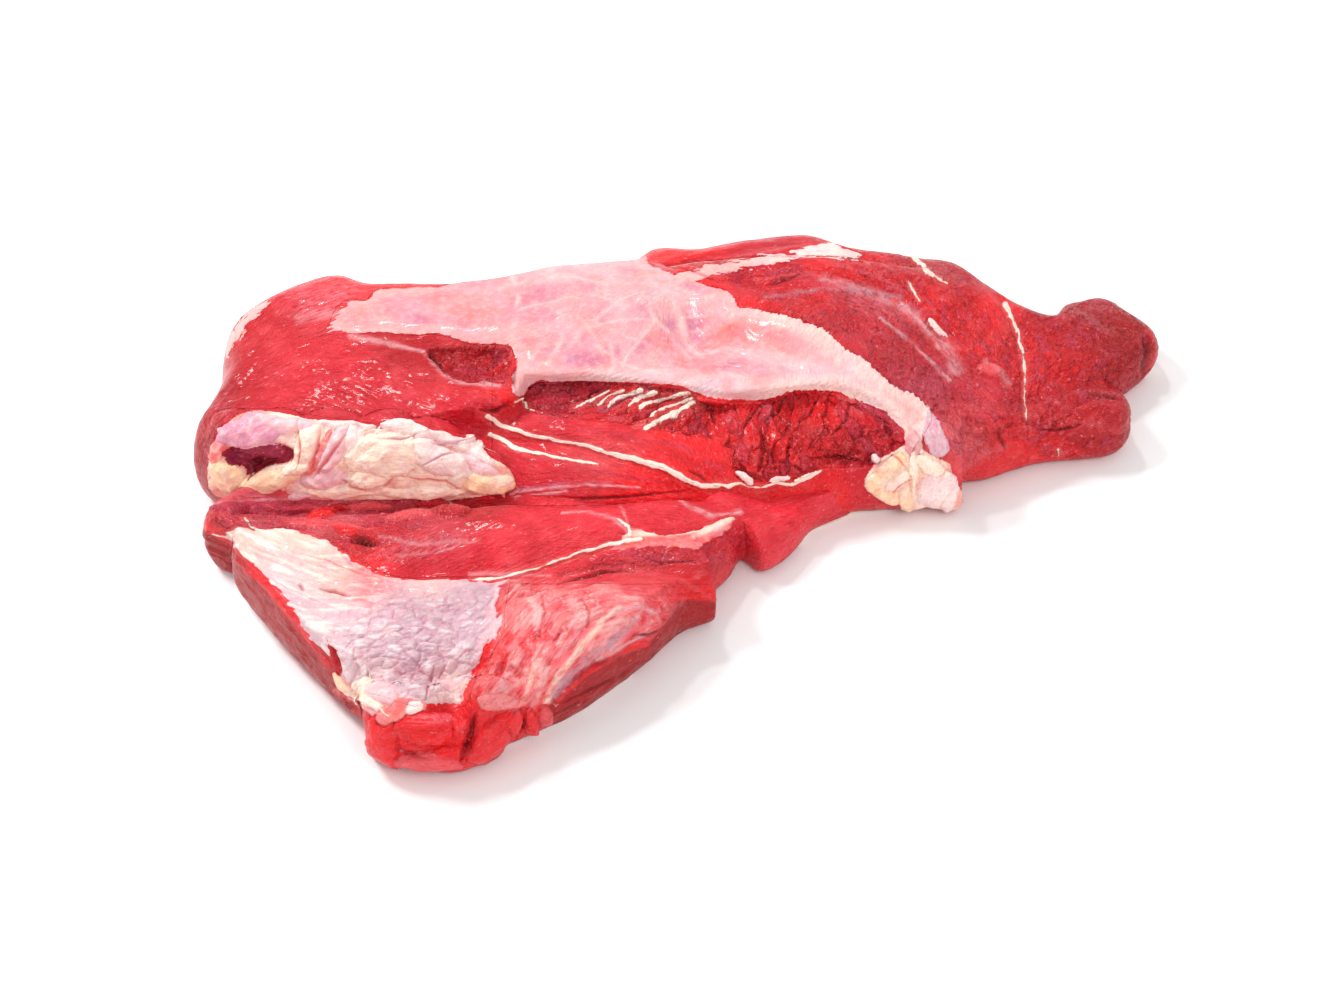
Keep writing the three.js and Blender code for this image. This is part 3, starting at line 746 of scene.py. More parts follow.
SKIN_WEB = [  # cords that show through the skin: path, half-width
    ([(636, 262), (650, 286), (672, 300), (680, 322), (684, 346), (700, 356)], 1.3),
    ([(650, 286), (620, 300), (594, 322), (570, 346)], 1.2),
    ([(650, 286), (600, 284), (560, 278), (500, 290)], 1.0),
    ([(655, 320), (640, 342), (622, 366)], 1.0), ([(655, 320), (620, 322), (590, 330)], 0.8),
    ([(672, 300), (700, 298), (730, 296)], 0.8), ([(680, 322), (706, 318), (724, 306)], 0.6),
    ([(655, 320), (648, 300), (640, 290)], 0.9), ([(655, 320), (672, 340), (690, 360)], 1.0),
    ([(515, 276), (518, 300), (514, 330), (512, 350)], 1.2),
    ([(560, 312), (562, 340), (548, 364)], 1.0), ([(518, 310), (540, 306), (566, 300)], 0.8),
    ([(622, 366), (640, 372), (668, 374)], 1.0), ([(610, 345), (612, 366), (606, 378)], 0.7),
    ([(590, 330), (600, 350), (622, 366)], 0.6), ([(700, 356), (730, 350), (760, 356)], 0.8),
    ([(566, 300), (590, 296), (610, 300)], 0.6), ([(594, 322), (612, 330), (640, 342)], 0.6)]
SKIN_CELLS = [  # violet places between the cords: ellipse in pixels, strength
    (584, 361, 26, 7, 0, 0.9), (613, 352, 9, 8, 0, 0.7), (642, 346, 12, 8, 30, 0.8),
    (531, 342, 11, 5, 0, 0.6), (548, 352, 10, 4, 20, 0.6), (545, 294, 26, 8, 6, 0.5),
    (580, 288, 18, 5, 0, 0.5), (694, 320, 13, 12, 0, 1.0), (668, 330, 8, 14, -20, 0.9),
    (700, 338, 9, 7, 0, 0.7), (426, 321, 28, 6, -4, 0.7), (466, 327, 16, 6, 0, 0.6),
    (640, 316, 15, 11, 20, 0.6), (735, 366, 26, 6, 6, 0.6), (700, 290, 22, 5, -14, 0.7),
    (634, 274, 14, 7, 0, 0.5), (604, 312, 14, 8, 30, 0.4), (770, 372, 30, 7, -4, 0.4)]
SKIN_WARM = [
    (742, 334, 34, 14, 8, 1.3), (775, 338, 28, 12, -24, 1.0), (480, 318, 30, 11, 0, 0.6),
    (450, 302, 40, 8, 2, 0.5), (596, 326, 20, 12, 30, 0.5), (718, 346, 18, 4, 14, 0.9),
    (520, 296, 18, 12, 0, 0.4), (360, 318, 30, 12, 0, 0.5)]
SKIN_GREY = [
    (640, 376, 60, 7, 2, 0.7), (720, 384, 60, 12, 6, 0.9), (800, 372, 46, 12, -6, 0.8),
    (760, 360, 40, 10, 0, 0.6), (590, 270, 60, 10, -4, 0.6), (560, 330, 24, 10, 0, 0.4),
    (860, 366, 30, 8, 28, 0.6), (668, 290, 30, 16, 0, 0.4)]
SKIN_FOLDS = [  # path, half-width and height in millimetres
    ([(692, 350), (706, 340), (724, 330), (744, 318)], 1.0, 0.8),
    ([(692, 352), (716, 350), (744, 348)], 0.8, 0.6),
    ([(700, 356), (724, 362), (760, 366)], 0.9, 0.5),
    ([(676, 304), (684, 318), (688, 336)], 1.0, 0.6),
    ([(640, 300), (652, 312), (660, 330)], 0.8, 0.4)]
LEFT_FAT_LOBULES = [  # ellipse in pixels, rise in millimetres, tone
    (252, 432, 33, 17, 8, 4.6, "fat_violet"), (262, 448, 26, 10, -6, 3.4, "fat_violet"),
    (282, 425, 42, 8, -8, 4.2, "fat_pearl"), (345, 428, 34, 4.5, -3, 3.2, "fat_white"),
    (228, 474, 18, 17, -14, 4.8, "fat_yellow"), (219, 452, 8, 12, -14, 3.4, "skin_warm"),
    (268, 482, 35, 11, 16, 5.0, "fat_yellow"), (296, 468, 20, 7, 20, 5.0, "fat"),
    (308, 446, 12, 24, -24, 4.2, "fat"), (321, 452, 5, 22, -26, 3.6, "skin_warm"),
    (334, 450, 10, 26, -28, 4.8, "fat_pearl"), (352, 441, 12, 17, -42, 4.8, "fat_white"),
    (384, 455, 42, 21, -4, 5.8, "fat"), (366, 477, 23, 10, 4, 5.6, "fat"),
    (404, 434, 28, 6, -13, 5.0, "fat_white"), (446, 441, 30, 4.5, -9, 4.4, "fat_white"),
    (474, 453, 26, 6, -24, 4.2, "fat_white"), (438, 460, 38, 14, -20, 5.4, "fat_white"),
    (480, 466, 24, 9, -26, 4.4, "fat_pearl"), (486, 483, 29, 11, -2, 5.8, "fat_yellow"),
    (458, 478, 14, 9, 40, 5.0, "fat"), (326, 478, 26, 9, 8, 3.6, "fat_pearl"),
    (345, 490, 54, 6.5, 0, 3.2, "fat"), (425, 491, 48, 6, 0, 3.2, "fat"),
    (288, 495, 34, 4, 0, 2.4, "fat_pearl")]
RIGHT_FAT_MASS = [
    (864, 482), (870, 470), (882, 458), (896, 450), (908, 444), (920, 448), (934, 456), (948, 463),
    (953, 478), (960, 490), (961, 500), (952, 509), (930, 505), (912, 508), (900, 500), (884, 500),
    (872, 494)]
VIOLET_SHEET = [
    (924, 413), (931, 414), (939, 424), (947, 438), (949, 450), (941, 457), (932, 455), (926, 444),
    (922, 428)]
RIGHT_FAT_LOBULES = [
    (744, 478, 12, 5, -18, 2.2, "fat_white"), (778, 480, 10, 3.5, 8, 1.8, "fat_white"),
    (806, 476, 15, 2.5, 22, 1.6, "fat"), (873, 461, 5.5, 5, 0, 3.0, "fat_white"),
    (873, 482, 9, 8, 20, 2.6, "fat_yellow"), (890, 466, 18, 8, 34, 3.2, "fat_yellow"),
    (897, 480, 16, 8, 40, 3.4, "fat"), (890, 493, 18, 7, -10, 3.0, "fat_yellow"),
    (906, 494, 9, 14, 16, 3.4, "fat_yellow"), (915, 474, 3.5, 30, -4, 4.0, "fat"),
    (936, 487, 21, 16, 24, 4.0, "fat_white"), (930, 465, 16, 7, -30, 3.6, "fat"),
    (950, 494, 9, 15, -20, 3.4, "fat_white"), (914, 446, 8, 13, 0, 2.2, "skin"),
    (939, 329, 15, 5.5, -52, 1.2, "web")]
LEAN_LOBULES = [  # red swellings of the back body
    (503, 396, 18, 6.5, -16, 1.8, "bright"), (486, 404, 22, 5, -6, 1.0, "smooth"),
    (618, 397, 16, 5, 6, 0.6, "bright"), (712, 400, 20, 6, 0, 1.6, "bright"),
    (664, 270, 12, 5, -24, 0.8, "rose"), (820, 284, 46, 7, -4, 1.0, "smooth"),
    (990, 369, 12, 7, -20, 0.7, "rose"), (1100, 420, 34, 20, 20, 1.6, "deep"),
    (1010, 448, 16, 10, 10, 0.9, "bright")]
BODY_CREASES = [  # path, half-width and depth in millimetres, tone at the bottom; dark and deep tones there are painted shade
    ([(346, 436), (330, 456), (314, 477)], 0.9, 1.3, "fat_red"),
    ([(300, 430), (304, 450), (298, 470)], 0.7, 1.0, "fat_red"),
    ([(322, 430), (318, 450), (312, 472)], 0.8, 1.2, "fat_red"),
    ([(340, 474), (352, 485), (372, 488), (388, 482), (396, 474)], 0.8, 1.3, "fat_red"),
    ([(396, 474), (420, 478), (446, 480), (470, 492)], 0.7, 1.0, "fat_red"),
    ([(420, 466), (440, 456), (462, 452)], 0.6, 0.7, "skin_violet"),
    ([(376, 440), (400, 441), (428, 436)], 0.5, 0.8, "skin_violet"),
    ([(428, 446), (452, 446), (474, 441)], 0.5, 0.8, "skin_violet"),
    ([(488, 494), (502, 495), (514, 490)], 1.5, 2.2, "dark"),
    ([(510, 493), (560, 499), (620, 497), (690, 491)], 0.9, 1.0, "dark"),
    ([(246, 462), (262, 466), (278, 458)], 2.2, 1.8, "dark"),
    ([(252, 476), (250, 466), (262, 456)], 1.8, 1.6, "dark"),
    ([(240, 498), (280, 499), (330, 500), (400, 499), (470, 497)], 0.8, 1.0, "deep"),
    ([(478, 410), (496, 411), (510, 403)], 1.1, 1.8, "dark"),
    ([(426, 350), (440, 360), (446, 374)], 0.8, 1.2, "dark"),
    ([(516, 366), (514, 378), (516, 390)], 0.9, 1.0, "dark"),
    ([(1035, 429), (1058, 430), (1081, 424)], 0.8, 1.0, "dark"),
    ([(997, 429), (1001, 440), (1004, 450)], 0.8, 1.0, "dark"),
    ([(1142, 333), (1148, 350), (1143, 378)], 1.3, 1.6, "dark"),
    ([(1085, 392), (1104, 396), (1124, 402)], 1.3, 1.3, "dark"),
    ([(545, 404), (580, 398), (606, 388)], 0.7, 0.8, "dark"),
    ([(585, 408), (604, 399), (622, 391)], 0.7, 1.0, "dark"),
    ([(608, 407), (624, 400), (642, 392)], 0.6, 0.9, "dark"),
    ([(630, 424), (652, 414), (668, 402)], 0.8, 1.2, "deep"),
    ([(655, 262), (690, 270), (722, 284)], 0.8, 0.8, "deep"),
    ([(765, 286), (790, 279), (806, 273)], 1.0, 1.2, "dark"),
    ([(700, 400), (712, 408), (716, 424)], 0.9, 1.4, "dark"),
    ([(760, 424), (764, 450), (758, 476)], 0.8, 1.4, "dark"),
    ([(812, 458), (840, 456), (868, 462)], 1.0, 1.6, "dark"),
    ([(762, 402), (752, 416), (742, 430)], 0.7, 1.2, "dark"),
    ([(788, 396), (776, 412), (762, 424)], 0.7, 1.2, "dark"),
    ([(820, 395), (810, 412), (794, 424)], 0.6, 1.0, "dark"),
    ([(850, 400), (846, 420), (830, 436)], 0.7, 1.0, "dark"),
    ([(877, 448), (896, 458), (908, 470)], 0.6, 0.8, "fat_red"),
    ([(890, 492), (900, 482), (912, 478)], 0.6, 0.9, "fat_red"),
    ([(708, 484), (700, 476), (686, 470)], 0.8, 0.8, "dark")]

BODY_GRAIN = [  # photo pixel, heading of the fibres in the picture
    (212, 450, 74), (222, 390, 64), (244, 345, 52), (270, 315, 42), (330, 287, 22), (400, 283, -6),
    (300, 350, 14), (270, 400, 8), (320, 395, -4), (350, 405, -35), (400, 410, -36), (450, 400, -14),
    (370, 370, -8), (480, 412, -16), (460, 365, 34), (395, 340, 8),
    (250, 436, 20), (290, 428, -8), (300, 450, 66), (326, 452, 64), (346, 446, 52), (380, 445, 24),
    (380, 465, 10), (420, 445, -10), (440, 462, -30), (480, 464, -34), (484, 484, -6), (270, 484, 20),
    (230, 474, 60), (340, 490, 2), (430, 491, 0),
    (560, 450, -15), (640, 472, -18), (510, 440, -22), (560, 480, -6), (640, 492, -10),
    (560, 395, 6), (610, 400, 26), (650, 402, 26), (680, 420, 34), (600, 432, -8), (660, 445, -30),
    (690, 460, -52), (725, 430, -60), (740, 430, 82), (775, 445, -66), (800, 462, -62), (770, 410, 52),
    (820, 410, 50), (850, 410, -24), (850, 440, -60), (880, 436, -36), (450, 320, 4), (560, 300, 16),
    (620, 340, 36), (690, 330, -60), (750, 350, -14),
    (830, 372, -30), (900, 415, -52), (770, 310, 64), (800, 318, 58), (828, 332, 52), (850, 348, 46),
    (872, 362, 46), (893, 380, 44), (915, 394, 40), (930, 408, 36),
    (880, 470, 60), (900, 488, 20), (916, 474, 88), (936, 486, 40), (938, 435, -60),
    (690, 262, 12), (780, 250, 9), (780, 268, 4), (840, 280, -12), (790, 296, -14), (840, 312, -26),
    (880, 335, -38), (905, 370, -44), (900, 300, -32), (940, 330, -48), (960, 380, -40),
    (950, 280, -36), (990, 430, -20), (1000, 350, 84), (1060, 340, 24), (1110, 320, -34),
    (1140, 350, -50), (1090, 430, 24), (1050, 445, 18), (1050, 390, 40), (1120, 410, 60)]
# The first places darken the left side where it turns away from the light: painted shade.
BODY_TONES = [
    (206, 450, "shade_red"), (214, 400, "shade_red"), (234, 356, "deep"), (264, 322, "deep"), (300, 300, "smooth"),
    (350, 290, "bright"), (250, 420, "smooth"), (270, 345, "smooth"), (312, 282, "rose"),
    (420, 285, "bright"), (280, 370, "smooth"), (300, 400, "smooth"), (400, 400, "smooth"),
    (350, 350, "smooth"), (460, 410, "smooth"), (504, 398, "bright"), (460, 365, "deep"),
    (395, 340, "deep"), (250, 455, "deep"), (310, 465, "fat_red"), (400, 470, "fat_red"),
    (520, 425, "smooth"), (600, 436, "smooth"), (600, 456, "rose"),
    (560, 478, "smooth"), (640, 478, "bright"), (560, 392, "violet"), (600, 408, "bright"),
    (680, 425, "bright"), (740, 425, "bright"), (780, 450, "bright"), (820, 420, "bright"),
    (850, 405, "bright"), (880, 430, "smooth"), (700, 262, "bright"), (760, 262, "smooth"),
    (840, 275, "bright"), (800, 300, "bright"), (860, 310, "smooth"), (850, 330, "smooth"),
    (900, 360, "smooth"), (920, 385, "violet"), (920, 290, "bright"), (960, 330, "bright"),
    (980, 390, "smooth"), (960, 440, "rose"), (1000, 450, "bright"), (940, 265, "deep"),
    (1050, 360, "bright"), (1080, 330, "deep"), (1130, 330, "shade_red"), (1120, 380, "deep"),
    (1060, 410, "deep"), (1100, 430, "deep"), (1050, 450, "bright")]
GRANULAR_LEAN = [  # torn, grainy lean: ellipse in pixels, strength
    (930, 350, 70, 90, 0, 0.9), (820, 300, 80, 34, -16, 0.8), (1070, 370, 80, 80, 0, 1.0),
    (980, 430, 50, 34, 0, 0.7), (890, 270, 60, 20, -10, 0.8), (740, 275, 60, 14, -10, 0.8),
    (1120, 330, 50, 40, 0, 0.9), (1080, 435, 60, 26, 0, 0.9)]
BODY_FILM = [
    (214, 430, 14, 60, -14, 0.2), (300, 292, 30, 10, -20, 0.3), (960, 440, 34, 16, -20, 0.3),
    (330, 300, 40, 14, 20, 0.5), (860, 300, 60, 12, -24, 0.35)]

# Places on the flap, in photo pixels

SILVERSKIN = [
    (209, 534), (224, 534), (238, 527), (255, 531), (283, 530), (301, 533), (320, 539), (333, 545),
    (345, 555), (363, 566), (385, 577), (410, 581), (437, 580), (470, 580), (503, 580), (503, 592),
    (500, 610), (499, 630), (490, 648), (482, 664), (470, 682), (461, 703), (440, 704), (422, 704),
    (405, 700), (390, 696), (370, 692), (348, 684), (331, 655), (311, 639), (296, 615), (281, 593),
    (268, 578), (255, 566), (242, 554), (229, 540)]
SILVER_TEAR = [(327, 640), (333, 648), (341, 664), (342, 676), (334, 670), (328, 656)]
FAT_TRIANGLE = [
    (620, 542), (630, 532), (640, 530), (651, 534), (672, 535), (693, 531), (714, 524), (733, 518),
    (728, 528), (716, 538), (698, 547), (680, 548), (655, 546), (640, 548), (615, 550), (600, 552)]
FASCIA = [
    (500, 582), (540, 584), (600, 584), (660, 596), (690, 602), (668, 612), (650, 632), (620, 650),
    (590, 664), (566, 682), (545, 706), (520, 712), (486, 706), (476, 694), (486, 660), (500, 630)]
CUT_WALL_RIGHT = [
    (545, 712), (553, 694), (570, 678), (590, 662), (613, 652), (640, 644), (655, 628), (668, 606),
    (690, 598), (722, 598), (730, 612), (690, 650), (640, 690), (590, 720), (545, 745)]
CUT_WALL_LEFT = [
    (196, 528), (222, 540), (240, 556), (262, 582), (285, 612), (305, 637), (322, 658), (338, 684),
    (356, 702), (340, 712), (290, 670), (240, 600), (196, 560)]
RAGGED_STRIP = [
    (210, 506), (260, 500), (330, 497), (400, 494), (470, 494), (475, 508), (462, 518), (430, 526),
    (400, 540), (360, 556), (338, 548), (310, 534), (270, 528), (225, 530), (206, 522)]
FLAP_CORDS = [
    ([(470, 580), (500, 578), (531, 570), (556, 561), (582, 552), (603, 546), (620, 543), (640, 540)],
     0.5, 1.2), ([(617, 520), (627, 527), (629, 536)], 0.4, 0.8), ([(350, 690), (372, 704), (392, 714)],
     0.8, 0.5), ([(244, 518), (252, 526), (258, 531)], 0.5, 0.3),
    ([(455, 478), (448, 500), (452, 508)], 0.3, 0.3)]
# Bands of the flap as on the body; the darkest one is painted shade in its groove.
FLAP_BANDS = [
    ([(562, 513), (590, 512), (614, 519), (629, 530), (640, 532)], 0.7, 1.6, "fat_pearl", 0.7, 0.2),
    ([(480, 572), (520, 570), (570, 560), (620, 544)], 1.6, 2.2, "skin_warm", 0.45, 0.0),
    ([(470, 574), (510, 574), (550, 576)], 1.6, 1.0, "fat_pearl", 0.5, 0.0),
    ([(620, 552), (650, 556), (690, 562), (720, 556)], 2.0, 1.4, "violet", 0.5, -0.3),
    ([(560, 574), (600, 566), (640, 562)], 1.8, 1.4, "dark", 0.35, -0.5),
    ([(610, 496), (622, 508), (628, 524)], 0.5, 0.7, "fat_pearl", 0.5, 0.0),
    ([(672, 494), (688, 506), (712, 516), (740, 512)], 0.8, 1.6, "fat_pearl", 0.8, 0.2),
    ([(600, 572), (640, 572), (680, 580), (708, 596)], 2.0, 1.2, "rose", 0.6, 0.5),
    ([(500, 590), (505, 612), (500, 640), (486, 670), (470, 698)], 1.6, 1.8, "skin_warm", 0.7, 0.4),
    ([(515, 600), (512, 625), (500, 655), (486, 690)], 1.2, 1.6, "skin_warm", 0.65, 0.3),
    ([(620, 608), (604, 620), (588, 640), (570, 660), (552, 684), (546, 702)], 1.6, 2.2, "fat", 0.85, 0.9),
    ([(600, 606), (584, 622), (572, 642), (556, 658)], 1.0, 1.2, "fat_pearl", 0.6, 0.5),
    ([(636, 620), (612, 640), (586, 660), (564, 682), (552, 696)], 1.8, 2.2, "silver_violet", 0.8, 0.0),
    ([(648, 632), (622, 646), (596, 660)], 0.9, 0.9, "silver", 0.8, 0.2),
    ([(612, 612), (636, 606), (655, 612)], 1.2, 1.4, "fat_pearl", 0.7, 0.4),
    ([(545, 590), (560, 596), (590, 596), (620, 590)], 2.6, 2.6, "fascia", 0.5, 0.0),
    ([(530, 600), (540, 612), (536, 624)], 2.2, 2.2, "web", 0.7, 0.2),
    ([(570, 600), (580, 612), (574, 626)], 2.2, 2.4, "web", 0.6, 0.2),
    ([(520, 640), (530, 656), (516, 676)], 1.6, 1.6, "bright", 0.8, -0.9),
    ([(540, 636), (556, 640), (566, 630)], 1.4, 1.2, "bright", 0.6, -0.6),
    ([(508, 668), (500, 690), (490, 706)], 1.6, 1.6, "fat_pearl", 0.6, 0.3),
    ([(540, 660), (530, 684), (522, 704)], 1.6, 1.4, "fat", 0.7, 0.5),
    ([(552, 672), (542, 696), (538, 714)], 1.0, 1.0, "bright", 0.8, 0.2),
    ([(655, 604), (668, 598), (690, 596), (712, 598)], 1.6, 2.0, "bright", 0.7, 1.0),
    ([(642, 644), (660, 622), (672, 604)], 1.8, 2.0, "rose", 0.6, 1.2),
    ([(556, 700), (584, 674), (616, 654), (646, 642)], 1.2, 1.4, "bright", 0.8, 0.9),
    ([(236, 560), (270, 590), (300, 626), (330, 668)], 1.0, 1.2, "bright", 0.6, 0.5),
    ([(336, 690), (360, 706), (378, 716)], 1.6, 1.2, "skin_warm", 0.8, 0.4),
    ([(380, 536), (420, 545), (466, 540)], 1.6, 1.2, "fat_pearl", 0.35, 0.0),
    ([(400, 556), (440, 552), (480, 540)], 1.0, 1.0, "fat_pearl", 0.35, 0.0),
    ([(215, 503), (260, 500), (310, 498), (360, 498)], 1.0, 0.8, "fat_pearl", 0.4, 0.0),
    ([(395, 749), (412, 753), (430, 752)], 0.8, 0.6, "fat_pearl", 0.7, 0.2)]
BEADS = [(544, 604, 26, 16, 0, 0.9), (586, 612, 22, 18, 20, 0.9), (560, 630, 30, 10, 20, 0.6)]
TIP_FAT_MASS = [
    (336, 676), (352, 680), (368, 682), (386, 688), (400, 698), (420, 699), (425, 708), (412, 714),
    (404, 724), (396, 732), (388, 738), (381, 726), (371, 714), (356, 702), (342, 690)]
TIP_LOBULES = [
    (434, 727, 41, 19, -2, 4.6, "bright"), (386, 742, 14, 30, 18, 3.2, "bright"),
    (424, 761, 44, 9, -4, 2.8, "rose"), (452, 752, 20, 9, 10, 2.6, "bright"),
    (492, 738, 14, 32, -42, 4.2, "bright"), (508, 722, 15, 13, 0, 4.0, "bright"),
    (531, 722, 9, 14, 20, 3.2, "bright"), (546, 716, 7, 10, 0, 2.2, "rose"),
    (500, 702, 22, 8, -4, 1.8, "fascia")]
TIP_FAT = [
    (384, 695, 19, 11, -20, 3.2, "fat_pearl"), (366, 687, 13, 8, -40, 2.8, "fat"),
    (400, 708, 16, 9, 50, 3.0, "skin_warm"), (415, 706, 9, 7, 20, 2.8, "fat_white"),
    (386, 716, 13, 10, 60, 3.0, "skin_warm"), (352, 686, 24, 5, -44, 2.2, "fat_yellow"),
    (374, 706, 26, 6, -36, 2.4, "fat")]
RAGGED_LOBULES = [
    (250, 508, 44, 6, -2, 1.8, "violet"),
    (300, 510, 30, 5, 0, 1.6, "violet"), (323, 514, 17, 6, 14, 3.0, "bright"),
    (340, 508, 12, 4, 0, 2.2, "deep"), (372, 506, 26, 5, 4, 1.8, "rose"),
    (440, 508, 28, 8, -4, 3.4, "deep"), (410, 516, 24, 5, 4, 2.0, "rose"),
    (352, 534, 22, 4, -10, 2.4, "bright"), (330, 526, 46, 4, -4, 1.4, "rose")]
# Creases of the flap as on the body; the black one is painted shadow in a hole under a fold, and dark and
# deep tones are painted shade.
FLAP_CREASES = [
    ([(352, 600), (390, 606), (430, 611), (470, 612), (500, 611)], 0.4, 0.7, "silver_violet"),
    ([(350, 589), (380, 598), (420, 603), (470, 604)], 0.4, 0.4, "silver_violet"),
    ([(340, 656), (352, 642), (372, 634), (400, 630), (430, 632)], 0.5, 0.7, "silver_violet"),
    ([(350, 660), (384, 657), (412, 662), (440, 660)], 0.4, 0.6, "silver_violet"),
    ([(416, 640), (421, 655), (415, 670)], 0.5, 0.9, "silver_violet"),
    ([(434, 666), (429, 684), (424, 702)], 0.6, 1.3, "skin_violet"),
    ([(448, 660), (440, 676), (432, 694)], 0.5, 0.8, "skin_violet"),
    ([(356, 646), (354, 658), (362, 676)], 0.5, 0.6, "silver_violet"),
    ([(236, 540), (262, 558), (300, 572), (340, 588)], 0.4, 0.4, "silver_violet"),
    ([(262, 538), (290, 556), (330, 570), (372, 584)], 0.4, 0.4, "silver_violet"),
    ([(290, 552), (330, 562), (360, 574), (400, 584)], 0.4, 0.4, "fat_red"),
    ([(256, 570), (290, 590), (320, 602), (352, 618)], 0.4, 0.4, "silver_violet"),
    ([(318, 589), (335, 592), (352, 597)], 0.9, 2.4, "deep"),
    ([(350, 541), (364, 539), (378, 545)], 2.3, 4.0, "black"),
    ([(331, 646), (337, 660), (340, 674)], 1.0, 1.8, "deep"),
    ([(299, 584), (304, 592)], 0.6, 1.4, "skin_violet"),
    ([(244, 517), (250, 524), (257, 531)], 0.8, 1.4, "dark"),
    ([(476, 712), (470, 736), (460, 762)], 1.6, 2.6, "dark"),
    ([(392, 744), (404, 752), (430, 755)], 0.8, 1.0, "deep"),
    ([(520, 708), (522, 722), (516, 740)], 0.8, 1.4, "dark"),
    ([(560, 704), (590, 690), (620, 676), (640, 660)], 0.9, 1.2, "dark"),
    ([(548, 716), (570, 706), (600, 694)], 0.7, 0.8, "dark"),
    ([(640, 572), (606, 572), (580, 578), (556, 584)], 1.0, 1.4, "dark"),
    ([(640, 556), (662, 563), (700, 560)], 0.7, 0.8, "dark"),
    ([(540, 590), (546, 612), (538, 640)], 0.6, 0.7, "fat_red"),
    ([(580, 596), (590, 612), (586, 630)], 0.6, 0.6, "fat_red"),
    ([(632, 636), (646, 634), (660, 628)], 0.8, 1.2, "dark"),
    ([(340, 552), (352, 566), (372, 574)], 0.6, 0.6, "skin_violet")]
FLAP_GRAIN = [
    (230, 515, -4), (300, 512, -4), (400, 510, -6), (470, 505, -4), (600, 495, 4), (700, 492, 0),
    (430, 548, 20), (480, 562, 16), (540, 535, 12), (600, 512, 18), (660, 515, -30), (700, 500, 12),
    (400, 535, 30), (650, 560, 14), (700, 560, 40), (740, 540, 50), (800, 500, 14),
    (240, 550, -30), (290, 590, -16), (340, 620, -4), (400, 620, -4), (450, 650, 14), (430, 592, 0),
    (480, 640, 60), (520, 620, 76), (520, 680, 62), (560, 650, 46), (600, 630, 40), (590, 600, 4),
    (650, 604, -8), (690, 602, -20), (600, 700, 36), (660, 660, 34), (700, 620, 40),
    (230, 590, -70), (300, 660, -72), (400, 735, 20), (450, 725, -30), (490, 740, 64), (520, 730, 40),
    (420, 765, 4)]
FLAP_TONES = [
    (212, 518, "bright"), (208, 545, "bright"), (232, 575, "bright"), (270, 625, "bright"),
    (240, 512, "pale"), (270, 512, "violet"), (300, 506, "rose"), (340, 506, "pale"), (420, 512, "rose"),
    (380, 514, "violet"), (420, 505, "violet"), (470, 500, "deep"),
    (560, 500, "clear"), (640, 496, "clear"), (720, 495, "clear"), (800, 495, "clear"),
    (380, 535, "bright"), (420, 545, "smooth"), (460, 562, "smooth"), (520, 540, "clear"),
    (590, 525, "clear"), (660, 510, "clear"), (560, 560, "clear"), (600, 565, "smooth"),
    (660, 565, "deep"), (700, 560, "deep"), (740, 550, "clear"), (780, 530, "clear"),
    (560, 590, "rose"), (640, 590, "rose"), (690, 595, "bright"), (600, 620, "rose"),
    (520, 650, "bright"), (560, 640, "rose"), (510, 690, "bright"), (650, 640, "bright"),
    (620, 690, "deep"), (680, 640, "deep"), (710, 610, "bright"), (325, 680, "deep"),
    (420, 720, "bright"), (400, 760, "bright"), (450, 750, "bright"), (490, 730, "bright"),
    (530, 725, "bright")]
GRANULAR_FLAP = [
    (640, 560, 60, 12, 8, 0.9), (720, 545, 34, 26, 30, 0.7), (410, 548, 60, 16, 8, 0.6),
    (340, 545, 50, 14, -20, 0.6)]
# Pale film on the flap: the first place paints pale glints on the glossy lean and the second a sheen on
# the top of the tip's main lump, painted highlights.
FLAP_FILM_AND_SHEEN = [(424, 546, 46, 10, 14, 0.35), (430, 718, 20, 5, 0, 0.5), (620, 592, 50, 6, 0, 0.3)]
SILVER_TONES = [
    (225, 538, "silver_cream"), (260, 545, "silver_cream"), (300, 550, "silver_cream"),
    (280, 580, "silver"), (330, 575, "silver_cream"), (370, 585, "skin_warm"), (320, 610, "silver"),
    (400, 602, "silver_violet"), (450, 600, "silver_violet"), (480, 600, "silver_violet"),
    (360, 640, "silver"), (390, 650, "silver_violet"), (430, 640, "silver_violet"),
    (460, 650, "silver"), (420, 680, "silver_violet"), (370, 670, "silver"), (400, 695, "silver"),
    (450, 690, "silver_cream"), (480, 640, "silver_violet"), (430, 584, "silver_cream")]


# Columns of photo pixels between which an effect comes in
SKIN_COMBED, SKIN_FRAYED, STRIP_WARMS = (738, 780), (385, 318), (830, 720)
SILVER_RAGGED, SILVER_LIGHTER, SILVER_FADES = (455, 500), (420, 330), (465, 488)
SILVER_WRINKLES = (425, 655, 100, 64, 0)  # the quilted part of the silverskin: an ellipse


